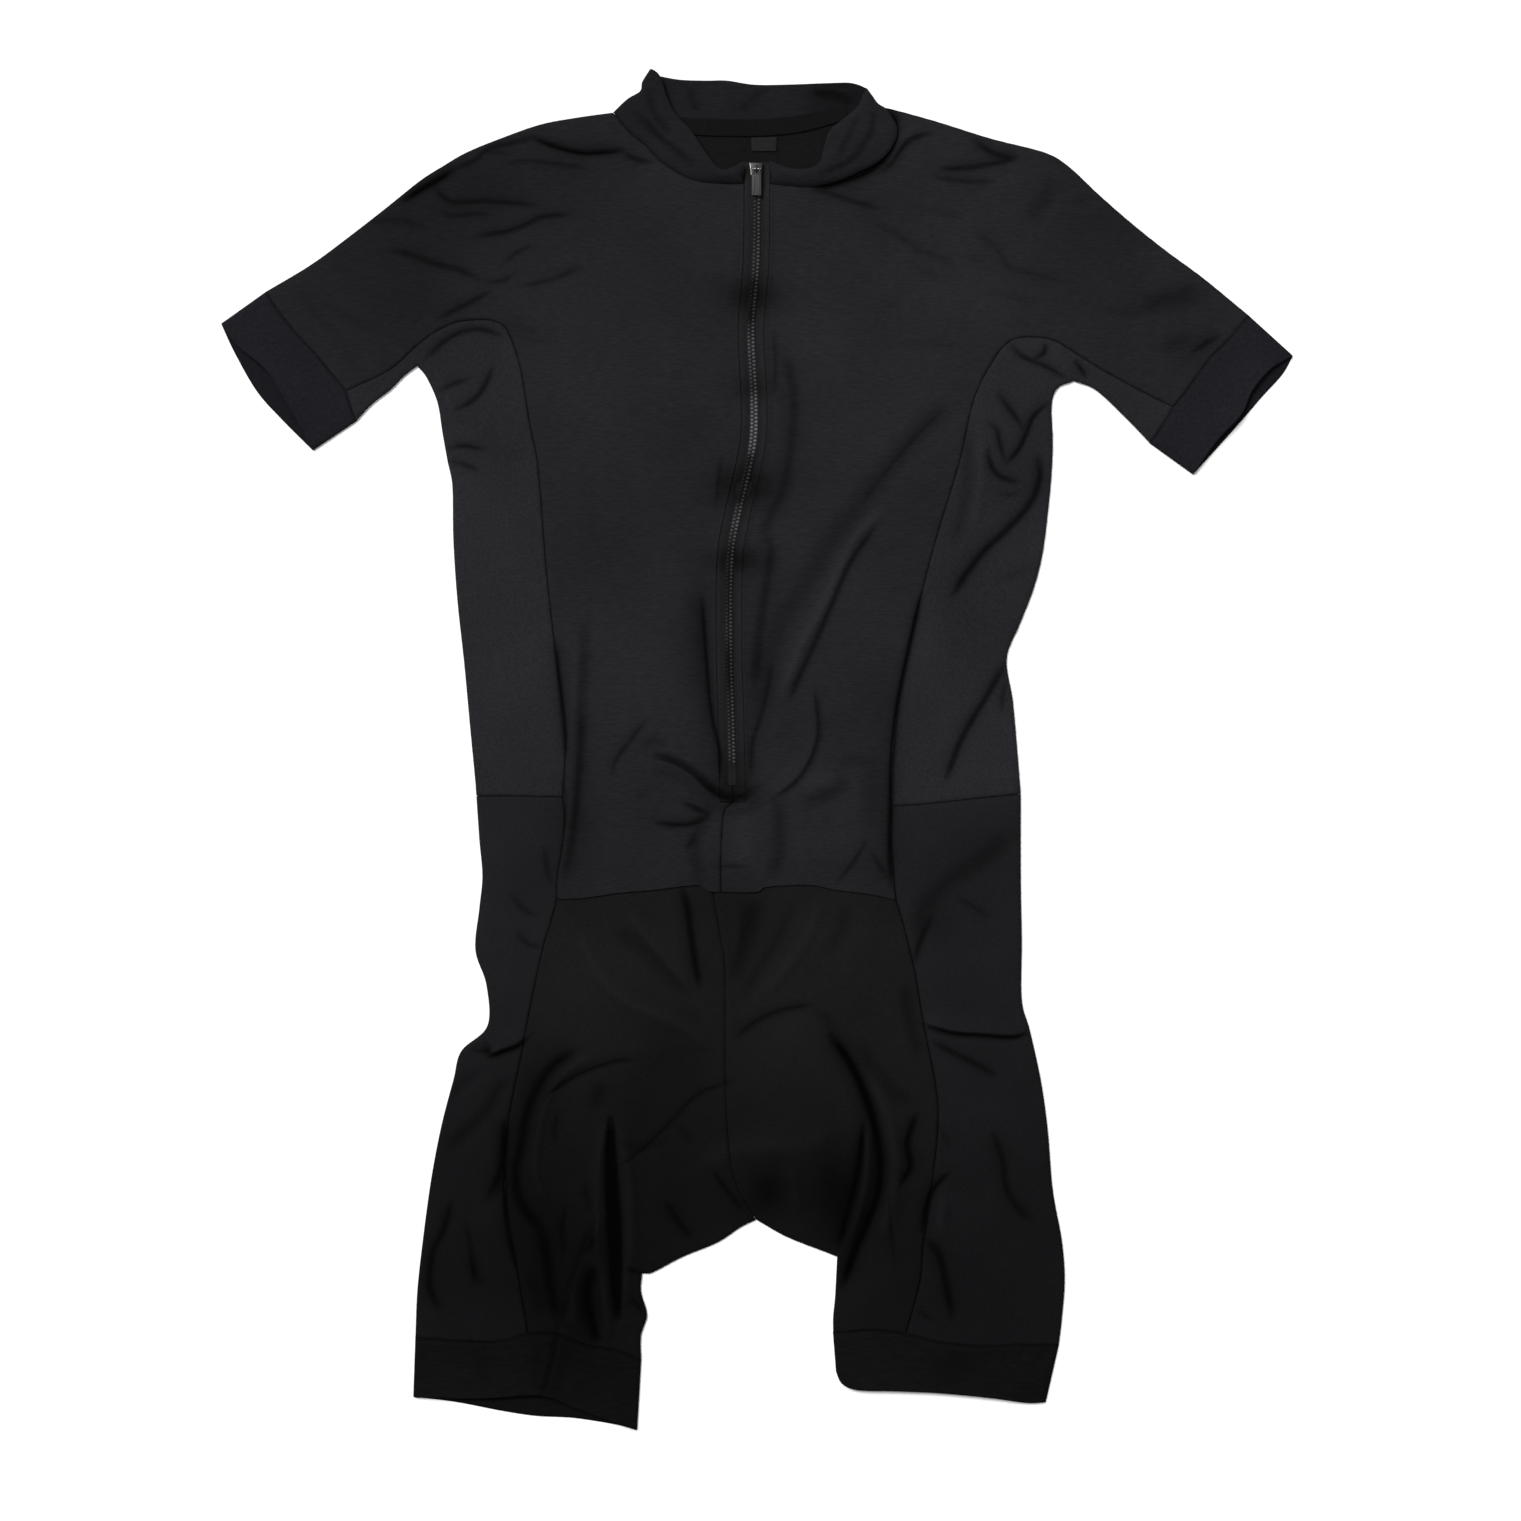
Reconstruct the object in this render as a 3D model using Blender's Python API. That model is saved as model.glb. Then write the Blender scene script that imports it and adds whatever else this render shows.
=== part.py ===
# Cycling skinsuit with short sleeves, laid flat on its back.
# Metres, +Z up, +Y towards the collar, z = 0 is the surface it lies on.
# Left and right are those of the view from above.
import bpy
import bmesh
import math
import numpy as np
from mathutils import Vector
from mathutils.geometry import delaunay_2d_cdt

for old in list(bpy.data.objects):
    bpy.data.objects.remove(old, do_unlink=True)

# ---------------------------------------------------------------- driving dimensions
GARMENT_LENGTH = 1.049        # collar tip to the lowest leg band edge
CHART_LENGTH = 1361.0         # the same length on the layout chart, in chart units
UNIT = 1000.0 * GARMENT_LENGTH / CHART_LENGTH   # millimetres per chart unit
CHART_CENTRE = (757.0, 749.5)  # chart point over the origin (chart y runs down)

WALL = 1.2                    # mm, cloth with its hems
SEAM_GAP = 0.3                # mm between neighbouring pieces
EDGE_HEIGHT = 2.8             # mm, top of the front layer at the fold with the back
LOFT = 1.8                    # mm more, away from the edge
LOFT_REACH = 22.0             # mm, how fast the loft comes in from the edge
PAD_RISE = 9.0                # mm, the seat pad under the shorts' front
HEM_LIFT = 2.1                # mm, the jersey hem over the shorts
COLLAR_RISE = 5.0             # mm, from the collar's base seam to its top edge
EDGE_STEP = 17.0              # mm between points along an edge
FACE_STEP = 24.0              # mm between points on a face

ZIP_TAPE_HALF = 10.0          # mm, visible half width of the zip with its tapes
ZIP_CHAIN_HALF = 3.1          # mm, half width of the closed teeth

PIVOT = (756.5, 170.0)        # chart place of the pull tab's pin
PIVOT_Z = 8.2                 # mm
TAB_LENGTH = 16.5
TAB_WIDTH = 7.6
TAB_THICK = 1.5

# ---------------------------------------------------------------- layout chart
# Junctions: name -> x, y
JUNCTION = {
    "neck_l": (613, 112), "neck_r": (885, 107),
    "throat_l": (744, 184), "throat_r": (770, 184),
    "cuff_top_l": (266, 291), "cuff_mid_l": (346, 391), "cuff_low_l": (356, 421),
    "cuff_top_r": (1249, 315), "cuff_mid_r": (1173, 407), "cuff_low_r": (1150, 443),
    "pit_l": (417, 366), "pit_r": (1074, 381),
    "mouth_top_l": (221, 323), "mouth_low_l": (313, 450),
    "mouth_top_r": (1293, 355), "mouth_low_r": (1193, 474),
    "waist_l": (563, 797), "waist_r": (892, 806),
    "waist_out_l": (476, 796), "waist_out_r": (1021, 794),
    "lap_l": (558, 872), "lap_r": (893, 872),
    "hem_l": (557, 899), "hem_r": (896, 900), "hem_mid": (721, 892),
    "zip_end": (733, 802),
    "band_out_l": (415, 1338), "band_mid_l": (528, 1334), "band_in_l": (641, 1361),
    "band_out_r": (1059, 1345), "band_mid_r": (906, 1334), "band_in_r": (833, 1333),
    "leg_l": (642, 1274), "leg_r": (837, 1257), "crotch": (756, 1220),
    "top_mid": (714, 872),
    "foot_out_l": (413, 1397), "foot_in_l": (637, 1430),
    "foot_out_r": (1046, 1402), "foot_in_r": (836, 1372),
}

# Curves: name -> first junction, rows of x, y between them, last junction
CURVE = {
    "shoulder_l": ("neck_l", [(577, 117), (540, 124), (500, 138), (466, 152), (442, 166),
                              (420, 180), (385, 208), (349, 236), (311, 264)], "cuff_top_l"),
    "cuff_a_l": ("cuff_top_l", [(277, 309), (296, 333), (318, 357)], "cuff_mid_l"),
    "cuff_b_l": ("cuff_mid_l", [(351, 407)], "cuff_low_l"),
    "under_l": ("cuff_low_l", [(372, 404), (390, 390), (404, 376)], "pit_l"),
    "side_up_l": ("pit_l", [(426, 377), (437, 402), (442, 432), (447, 460), (452, 486),
                            (453, 540), (457, 600), (464, 665), (470, 730), (475, 782)],
                  "waist_out_l"),
    "side_low_l": ("waist_out_l", [(479, 840), (482, 876), (479, 908), (475, 950), (486, 985),
                                   (487, 1026), (461, 1051), (453, 1080), (441, 1126),
                                   (431, 1178), (423, 1236), (417, 1290)], "band_out_l"),
    "seam_up_l": ("cuff_mid_l", [(389, 370), (414, 348), (432, 334), (454, 323), (475, 320),
                                 (493, 321), (507, 330), (520, 366), (530, 425), (538, 466),
                                 (546, 565), (554, 638), (565, 724), (565, 760)], "waist_l"),
    "waist_seam_l": ("waist_l", [(520, 796)], "waist_out_l"),
    "seam_mid_l": ("waist_l", [(565, 820), (562, 850)], "lap_l"),
    "seam_lap_l": ("lap_l", [(557, 885)], "hem_l"),
    "shorts_l": ("hem_l", [(551, 921), (542, 951), (530, 1008), (521, 1056), (508, 1124),
                           (505, 1186), (509, 1228), (518, 1275)], "band_mid_l"),
    "band_a_l": ("band_out_l", [(468, 1341), (500, 1341)], "band_mid_l"),
    "band_b_l": ("band_mid_l", [(557, 1334), (585, 1345), (617, 1351)], "band_in_l"),
    "inner_l": ("band_in_l", [(641, 1336), (647, 1315), (641, 1292)], "leg_l"),
    "crotch_l": ("leg_l", [(652, 1273), (683, 1257), (717, 1243), (740, 1228)], "crotch"),

    "shoulder_r": ("neck_r", [(901, 111), (940, 122), (991, 138), (1045, 152), (1069, 166),
                              (1099, 194), (1131, 222), (1166, 250), (1204, 278)],
                   "cuff_top_r"),
    "cuff_a_r": ("cuff_top_r", [(1229, 339), (1210, 358), (1191, 384)], "cuff_mid_r"),
    "cuff_b_r": ("cuff_mid_r", [(1163, 424)], "cuff_low_r"),
    "under_r": ("cuff_low_r", [(1126, 418), (1096, 390)], "pit_r"),
    "side_up_r": ("pit_r", [(1058, 388), (1052, 404), (1053, 440), (1052, 470), (1049, 504),
                            (1043, 552), (1034, 588), (1020, 624), (1007, 658), (1013, 700),
                            (1017, 744)], "waist_out_r"),
    "side_low_r": ("waist_out_r", [(1021, 880), (1022, 940), (1022, 1000), (1030, 1030),
                                   (1041, 1080), (1048, 1130), (1053, 1190), (1062, 1240),
                                   (1065, 1280), (1062, 1320)], "band_out_r"),
    "seam_up_r": ("cuff_mid_r", [(1143, 392), (1103, 370), (1074, 352), (1053, 340),
                                 (1027, 337), (1009, 342), (994, 359), (974, 399), (960, 460),
                                 (936, 539), (919, 605), (899, 698), (891, 765)], "waist_r"),
    "waist_seam_r": ("waist_r", [(924, 804), (981, 798)], "waist_out_r"),
    "seam_mid_r": ("waist_r", [(891, 840)], "lap_r"),
    "seam_lap_r": ("lap_r", [(894, 886)], "hem_r"),
    "shorts_r": ("hem_r", [(903, 923), (914, 967), (924, 1026), (935, 1081), (938, 1124),
                           (931, 1192), (923, 1249), (920, 1281)], "band_mid_r"),
    "band_a_r": ("band_out_r", [(1018, 1345), (978, 1346), (939, 1342)], "band_mid_r"),
    "band_b_r": ("band_mid_r", [(874, 1330)], "band_in_r"),
    "inner_r": ("band_in_r", [(833, 1317), (835, 1296)], "leg_r"),
    "crotch_r": ("leg_r", [(819, 1250), (803, 1244), (782, 1235)], "crotch"),

    "neck_base_l": ("neck_l", [(629, 132), (646, 146), (664, 164), (693, 180), (722, 184)],
                    "throat_l"),
    "neck_base_r": ("throat_r", [(787, 186), (810, 187), (832, 183), (855, 174), (881, 160),
                                 (895, 142), (897, 126)], "neck_r"),
    "hem_a": ("hem_l", [(584, 898), (618, 893), (653, 890), (698, 885), (707, 891)],
              "hem_mid"),
    "hem_b": ("hem_mid", [(757, 892), (766, 887), (809, 885), (836, 890), (869, 894)],
              "hem_r"),
    "front_mid": ("zip_end", [(724, 812), (721, 852)], "hem_mid"),
    "shorts_mid": ("top_mid", [(714, 898), (721, 939), (725, 967), (725, 1040), (726, 1100),
                               (731, 1163), (739, 1190)], "crotch"),
    "lap_top_l": ("lap_l", [], "top_mid"),
    "lap_top_r": ("top_mid", [], "lap_r"),
    # the sleeve bands and leg bands: outer edges and mouths (front and back lip)
    "band_top_l": ("cuff_top_l", [], "mouth_top_l"),
    "band_low_l": ("cuff_low_l", [], "mouth_low_l"),
    "band_top_r": ("cuff_top_r", [], "mouth_top_r"),
    "band_low_r": ("cuff_low_r", [], "mouth_low_r"),
    "mouth_front_l": ("mouth_top_l", [(239, 346), (268, 371), (286, 400), (300, 424)],
                      "mouth_low_l"),
    "mouth_back_l": ("mouth_top_l", [(235, 353), (257, 391), (282, 419)], "mouth_low_l"),
    "mouth_front_r": ("mouth_top_r", [(1270, 369), (1251, 391), (1240, 415), (1216, 441)],
                      "mouth_low_r"),
    "mouth_back_r": ("mouth_top_r", [(1282, 374), (1262, 396), (1238, 424)], "mouth_low_r"),
    "foot_front_l": ("foot_out_l", [(480, 1397), (542, 1394), (573, 1406), (600, 1416)],
                     "foot_in_l"),
    "foot_back_l": ("foot_out_l", [(455, 1402), (502, 1411), (536, 1416), (573, 1418),
                                   (612, 1424)], "foot_in_l"),
    "foot_front_r": ("foot_out_r", [(1025, 1402), (991, 1397), (939, 1392), (892, 1390),
                                    (856, 1389), (842, 1383)], "foot_in_r"),
    "foot_back_r": ("foot_out_r", [(1025, 1400), (991, 1395), (939, 1390), (892, 1388),
                                   (856, 1386), (843, 1380)], "foot_in_r"),
    "leg_out_l": ("band_out_l", [(414, 1368)], "foot_out_l"),
    "leg_in_l": ("band_in_l", [(645, 1385)], "foot_in_l"),
    "leg_out_r": ("band_out_r", [(1054, 1375)], "foot_out_r"),
    "leg_in_r": ("band_in_r", [(833, 1350)], "foot_in_r"),
}

# Front layer's largest folds: name -> height mm (below 0 is a trough), half width mm,
# rows of x, y along the fold
FOLD = {
    "pouch_roll":     (1.6, 17, [(640, 770), (690, 800), (733, 822), (775, 806), (812, 770)]),
    "pouch_left":     (-1.0, 13, [(720, 758), (708, 665), (699, 565)]),
    "right_diagonal": (-1.1, 15, [(944, 408), (886, 472), (840, 539), (806, 615)]),
    "right_ridge":    (1.2, 14, [(885, 520), (843, 580), (806, 660)]),
    "right_zip":      (-1.0, 13, [(792, 380), (783, 492), (765, 600), (758, 680)]),
    "waist_left":     (-1.0, 13, [(584, 650), (579, 781), (567, 861)]),
    "underarm_left":  (-1.0, 14, [(448, 446), (489, 379), (504, 336)]),
    "underarm_right": (-1.1, 14, [(1038, 459), (1022, 512), (979, 562)]),
    "shoulder_left":  (-1.0, 13, [(432, 190), (479, 205), (560, 200)]),
    "shoulder_right": (-1.0, 13, [(878, 215), (944, 258), (1016, 272)]),
    "hip_left":       (1.2, 14, [(592, 965), (640, 1010), (700, 1042)]),
    "hip_right":      (1.2, 15, [(935, 1040), (1000, 1045), (1028, 1040)]),
    "groin_right":    (-1.2, 16, [(848, 1063), (876, 1140), (858, 1252)]),
    "leg_left":       (-1.2, 15, [(613, 1140), (612, 1220), (618, 1290)]),
    "leg_fold_left":  (1.3, 14, [(560, 1200), (565, 1270), (550, 1330)]),
    "leg_fold_right": (1.2, 15, [(958, 1140), (975, 1230), (990, 1320)]),
}

# Seat pad: chart centre and radii
PAD = {"x": 747, "y": 1124, "rx": 98, "ry": 112}

# ---------------------------------------------------------------- geometry helpers


def to_mm(point):
    return np.array([(point[0] - CHART_CENTRE[0]) * UNIT, (CHART_CENTRE[1] - point[1]) * UNIT])


def smooth_curve(rows, step):
    """A Catmull-Rom curve through the rows, resampled evenly, ends kept."""
    p = np.array([to_mm(r) for r in rows])
    if len(p) > 2:
        q = np.vstack([2 * p[0] - p[1], p, 2 * p[-1] - p[-2]])
        t = np.linspace(0, 1, 13)[:, None]
        parts = []
        for i in range(1, len(q) - 2):
            a, b, c, d = q[i - 1], q[i], q[i + 1], q[i + 2]
            # tangents limited by the chord, so that short rows never overshoot
            m1, m2 = (c - a) / 2, (d - b) / 2
            chord = np.linalg.norm(c - b)
            for m in (m1, m2):
                n = np.linalg.norm(m)
                if n > 1.3 * chord:
                    m *= 1.3 * chord / n
            h = (2 * t**3 - 3 * t**2 + 1) * b + (t**3 - 2 * t**2 + t) * m1 \
                + (-2 * t**3 + 3 * t**2) * c + (t**3 - t**2) * m2
            parts.append(h[:-1])
        p = np.vstack(parts + [p[-1:]])
    length = np.concatenate([[0], np.cumsum(np.linalg.norm(np.diff(p, axis=0), axis=1))])
    count = max(1, int(round(length[-1] / step)))
    s = np.linspace(0, length[-1], count + 1)
    return np.stack([np.interp(s, length, p[:, 0]), np.interp(s, length, p[:, 1])], axis=1)


def curve(name, step=EDGE_STEP):
    first, rows, last = CURVE[name]
    return smooth_curve([JUNCTION[first]] + list(rows) + [JUNCTION[last]], step)


def chain(*names):
    """Joined curves; a name that starts with '-' runs backwards."""
    out = []
    for name in names:
        if isinstance(name, np.ndarray):
            c = name
        elif name.startswith("-"):
            c = curve(name[1:])[::-1]
        else:
            c = curve(name)
        for p in c:
            if not out or np.linalg.norm(out[-1] - p) > 0.4:
                out.append(p)
    if np.linalg.norm(out[0] - out[-1]) < 0.4:
        out.pop()
    return np.array(out)


def area_of(loop):
    x, y = loop[:, 0], loop[:, 1]
    return 0.5 * float(np.sum(x * np.roll(y, -1) - np.roll(x, -1) * y))


def inset(loop, amount):
    """The loop moved inwards by amount, mitred at its corners; counterclockwise."""
    if area_of(loop) < 0:
        loop = loop[::-1]
    before = loop - np.roll(loop, 1, axis=0)
    after = np.roll(loop, -1, axis=0) - loop
    before /= np.linalg.norm(before, axis=1)[:, None]
    after /= np.linalg.norm(after, axis=1)[:, None]
    n1 = np.stack([-before[:, 1], before[:, 0]], axis=1)
    n2 = np.stack([-after[:, 1], after[:, 0]], axis=1)
    mid = n1 + n2
    mid /= np.maximum(np.linalg.norm(mid, axis=1), 1e-6)[:, None]
    scale = amount / np.maximum(np.sum(mid * n1, axis=1), 0.35)
    return loop + mid * scale[:, None]


def distance_to(points, line):
    """Distance from each point to an open line of points."""
    best = np.full(len(points), 1e9)
    for a, b in zip(line[:-1], line[1:]):
        ab = b - a
        t = np.clip(((points - a) @ ab) / max(float(ab @ ab), 1e-9), 0, 1)
        best = np.minimum(best, np.linalg.norm(points - (a + t[:, None] * ab), axis=1))
    return best


def inside(points, loop):
    x, y = points[:, 0], points[:, 1]
    result = np.zeros(len(points), bool)
    j = len(loop) - 1
    for i in range(len(loop)):
        xi, yi = loop[i]
        xj, yj = loop[j]
        crosses = ((yi > y) != (yj > y)) & (x < (xj - xi) * (y - yi) / ((yj - yi) or 1e-9) + xi)
        result ^= crosses
        j = i
    return result


def step01(value, low, high):
    t = np.clip((value - low) / (high - low), 0, 1)
    return t * t * (3 - 2 * t)


SILHOUETTE = ["shoulder_l", "band_top_l", "mouth_front_l", "band_low_l", "under_l",
              "side_up_l", "side_low_l", "leg_out_l", "foot_front_l", "leg_in_l", "inner_l",
              "crotch_l", "crotch_r", "inner_r", "leg_in_r", "foot_front_r", "leg_out_r",
              "side_low_r", "side_up_r", "under_r", "band_low_r", "mouth_front_r",
              "band_top_r", "shoulder_r"]
EDGE_LINES = [curve(n, 12.0) for n in SILHOUETTE]
FOLD_LINES = [(h, w, smooth_curve(rows, 14.0)) for h, w, rows in FOLD.values()]


def pad_bulge(points):
    centre = to_mm((PAD["x"], PAD["y"]))
    r = np.hypot((points[:, 0] - centre[0]) / (PAD["rx"] * UNIT),
                 (points[:, 1] - centre[1]) / (PAD["ry"] * UNIT))
    edge = np.min([distance_to(points, l) for l in EDGE_LINES[11:13]], axis=0)
    return PAD_RISE * (1 - step01(r, 0.25, 1.05)) * (1 - np.exp(-edge / 18.0))


def front_height(points):
    """Top of the front layer."""
    points = np.asarray(points, float)
    edge = np.min([distance_to(points, l) for l in EDGE_LINES], axis=0)
    height = EDGE_HEIGHT + LOFT * (1 - np.exp(-edge / LOFT_REACH)) + pad_bulge(points)
    fade = 1 - np.exp(-edge / 14.0)
    for h, w, line in FOLD_LINES:
        height += fade * h * np.exp(-(distance_to(points, line) / w) ** 2)
    return np.maximum(height, EDGE_HEIGHT)


def jersey_height(points):
    points = np.asarray(points, float)
    y_from = (CHART_CENTRE[1] - 822) * UNIT
    y_to = (CHART_CENTRE[1] - 864) * UNIT
    return front_height(points) + HEM_LIFT * step01(-points[:, 1], -y_from, -y_to)


def seat_height(points):
    points = np.asarray(points, float)
    return WALL + 0.85 * pad_bulge(points)


def flat_height(points):
    return np.full(len(points), WALL)


def collection(name):
    c = bpy.data.collections.new(name)
    bpy.context.scene.collection.children.link(c)
    return c


SUIT = collection("cycling_skinsuit")


def material(name, rgb, roughness, metallic=0.0):
    m = bpy.data.materials.new(name)
    m.use_nodes = True
    b = m.node_tree.nodes["Principled BSDF"]
    b.inputs["Base Color"].default_value = (*rgb, 1)
    b.inputs["Roughness"].default_value = roughness
    b.inputs["Metallic"].default_value = metallic
    return m


JERSEY = material("jersey_knit", (0.016, 0.016, 0.019), 0.85)
SIDE = material("side_knit", (0.020, 0.020, 0.024), 0.75)
SHORTS = material("shorts_knit", (0.009, 0.009, 0.009), 0.7)
BAND = material("elastic_band", (0.006, 0.006, 0.006), 0.8)
CUFF = material("sleeve_band", (0.014, 0.013, 0.018), 0.8)
TAPE = material("zip_tape", (0.008, 0.008, 0.009), 0.8)
PLASTIC = material("zip_plastic", (0.02, 0.02, 0.022), 0.4)
METAL = material("slider_metal", (0.25, 0.24, 0.22), 0.4, 0.9)


def add_object(name, bm, mat):
    bmesh.ops.recalc_face_normals(bm, faces=bm.faces)
    mesh = bpy.data.meshes.new(name)
    bm.to_mesh(mesh)
    bm.free()
    mesh.materials.append(mat)
    obj = bpy.data.objects.new(name, mesh)
    SUIT.objects.link(obj)
    return obj


def sheet(name, loop, top, mat, wall=WALL, bottom=None, face_step=FACE_STEP):
    """A cloth panel: the outline filled with a net, lifted to its height, given a wall."""
    loop = inset(loop, SEAM_GAP / 2)
    low, high = loop.min(axis=0), loop.max(axis=0)
    rows = np.arange(low[1] + face_step / 2, high[1], face_step * 0.866)
    net = []
    for k, y in enumerate(rows):
        shift = face_step / 2 if k % 2 else 0
        for x in np.arange(low[0] + face_step / 4 + shift, high[0], face_step):
            net.append((x, y))
    net = np.array(net) if net else np.zeros((0, 2))
    if len(net):
        net = net[inside(net, loop)]
    if len(net):
        closed = np.vstack([loop, loop[:1]])
        net = net[distance_to(net, closed) > 0.5 * face_step]
    points = [Vector((float(x), float(y))) for x, y in loop] + \
             [Vector((float(x), float(y))) for x, y in net]
    n = len(loop)
    edges = [(i, (i + 1) % n) for i in range(n)]
    verts, _, faces, *_ = delaunay_2d_cdt(points, edges, [list(range(n))], 1, 1e-6)
    xy = np.array([(v.x, v.y) for v in verts])
    z_top = top(xy)
    z_low = z_top - wall if bottom is None else bottom(xy)
    bm = bmesh.new()
    made = [bm.verts.new((x / 1000, y / 1000, z / 1000)) for (x, y), z in zip(xy, z_top)]
    for f in faces:
        bm.faces.new([made[i] for i in f])
    low_of = {v: z for v, z in zip(made, z_low)}
    grown = bmesh.ops.extrude_face_region(bm, geom=list(bm.faces))
    bm.verts.ensure_lookup_table()
    copies = [g for g in grown["geom"] if isinstance(g, bmesh.types.BMVert)]
    by_place = {(round(v.co.x, 7), round(v.co.y, 7)): z for v, z in low_of.items()}
    for v in copies:
        v.co.z = by_place[(round(v.co.x, 7), round(v.co.y, 7))] / 1000
    bmesh.ops.triangulate(bm, faces=bm.faces)
    return add_object(name, bm, mat)


def tube(name, seam, lip_front, lip_back, rings, mat, along=16):
    """A band: a flattened tube between its seam and its mouth, open at both ends."""
    def even(line):
        s = np.concatenate([[0], np.cumsum(np.linalg.norm(np.diff(line, axis=0), axis=1))])
        t = np.linspace(0, 1, along + 1)
        t = np.concatenate([[0, 2.6 / s[-1]], t[1:-1], [1 - 2.6 / s[-1], 1]]) * s[-1]
        return np.stack([np.interp(t, s, line[:, 0]), np.interp(t, s, line[:, 1])], axis=1)
    seam, lip_front, lip_back = even(seam), even(lip_front), even(lip_back)
    # the seam end stands half a gap away from the sleeve or the leg
    outward = (lip_front[0] - seam[0] + lip_front[-1] - seam[-1]) / 2
    outward /= np.linalg.norm(outward)
    seam = seam + outward * SEAM_GAP
    bm = bmesh.new()
    loops = []
    for k in range(rings + 1):
        u = k / rings
        front = seam * (1 - u) + lip_front * u
        back = seam * (1 - u) + lip_back * u
        zf = front_height(front)
        zf[1] = zf[-2] = EDGE_HEIGHT
        across = front[-1] - front[0]
        across /= np.linalg.norm(across)
        outer, inner = [], []
        m = len(front)
        for i in range(m):
            if i in (0, m - 1):
                side = across if i == 0 else -across
                outer.append((*front[i], 1.4))
                inner.append((*(front[i] + side * 1.2), 1.4))
            else:
                outer.append((*front[i], zf[i]))
                inner.append((*front[i], zf[i] - WALL))
        for i in range(m - 2, 0, -1):
            outer.append((*back[i], 0.0))
            inner.append((*back[i], WALL))
        loops.append(([bm.verts.new((x / 1000, y / 1000, z / 1000)) for x, y, z in outer],
                      [bm.verts.new((x / 1000, y / 1000, z / 1000)) for x, y, z in inner]))
    n = len(loops[0][0])
    for k in range(rings):
        for which in (0, 1):
            a, b = loops[k][which], loops[k + 1][which]
            for i in range(n):
                j = (i + 1) % n
                bm.faces.new((a[i], a[j], b[j], b[i]))
    for k in (0, rings):
        a, b = loops[k]
        for i in range(n):
            j = (i + 1) % n
            bm.faces.new((a[i], a[j], b[j], b[i]))
    bmesh.ops.triangulate(bm, faces=bm.faces)
    return add_object(name, bm, mat)


# ---------------------------------------------------------------- zip edges
ZIP_ROWS = [(757, 162), (757, 178), (756, 262), (751, 330), (754, 400), (752, 449), (737, 516),
            (730, 560), (729, 640), (731, 720), (733, 802)]
ZIP_LINE = smooth_curve(ZIP_ROWS, 9.0)


def beside_zip(offset, y_top, y_low, step=3):
    """The zip's middle line moved sideways, between two chart heights."""
    direction = np.gradient(ZIP_LINE, axis=0)
    direction /= np.linalg.norm(direction, axis=1)[:, None]
    side = np.stack([-direction[:, 1], direction[:, 0]], axis=1)
    line = ZIP_LINE + side * offset
    hi = (CHART_CENTRE[1] - y_top) * UNIT
    lo = (CHART_CENTRE[1] - y_low) * UNIT
    keep = line[::step]
    keep = keep[(keep[:, 1] < hi - 3) & (keep[:, 1] > lo + 3)]
    y = line[::-1, 1]
    x = line[::-1, 0]
    first = np.array([np.interp(hi, y, x), hi])
    last = np.array([np.interp(lo, y, x), lo])
    bend = (CHART_CENTRE[1] - 181) * UNIT       # the zip dips under the slider above this
    rows = [first]
    if bend < hi - 1:
        rows.append(np.array([np.interp(bend, y, x), bend]))
    rows += [k for k in keep if abs(k[1] - bend) > 4] + [last]
    return np.array(rows)


# the line runs down, so a positive offset is to the right
left_edge = beside_zip(-ZIP_TAPE_HALF, 184, 802)
right_edge = beside_zip(ZIP_TAPE_HALF, 184, 802)
JUNCTION["throat_l"] = (left_edge[0][0] / UNIT + CHART_CENTRE[0], 184)
JUNCTION["throat_r"] = (right_edge[0][0] / UNIT + CHART_CENTRE[0], 184)
ZIP_FOOT = to_mm(JUNCTION["zip_end"])

# ---------------------------------------------------------------- front layer
sheet("front_left", chain("shoulder_l", "cuff_a_l", "seam_up_l", "seam_mid_l", "seam_lap_l",
                          "hem_a", "-front_mid", left_edge[::-1], "-neck_base_l"),
      jersey_height, JERSEY)
sheet("front_right", chain("shoulder_r", "cuff_a_r", "seam_up_r", "seam_mid_r", "seam_lap_r",
                           "-hem_b", "-front_mid", right_edge[::-1], "neck_base_r"),
      jersey_height, JERSEY)
sheet("side_left", chain("-cuff_b_l", "seam_up_l", "waist_seam_l", "-side_up_l", "-under_l"),
      front_height, SIDE)
sheet("side_right", chain("-cuff_b_r", "seam_up_r", "waist_seam_r", "-side_up_r", "-under_r"),
      front_height, SIDE)
sheet("hip_left", chain("-waist_seam_l", "seam_mid_l", "seam_lap_l", "shorts_l", "-band_a_l",
                        "-side_low_l"), front_height, SHORTS)
sheet("hip_right", chain("-waist_seam_r", "seam_mid_r", "seam_lap_r", "shorts_r", "-band_a_r",
                         "-side_low_r"), front_height, SHORTS)
sheet("thigh_left", chain("-lap_top_l", "seam_lap_l", "shorts_l", "band_b_l", "inner_l",
                          "crotch_l", "-shorts_mid"), front_height, SHORTS)
sheet("thigh_right", chain("lap_top_r", "seam_lap_r", "shorts_r", "band_b_r", "inner_r",
                           "crotch_r", "-shorts_mid"), front_height, SHORTS)

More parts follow.
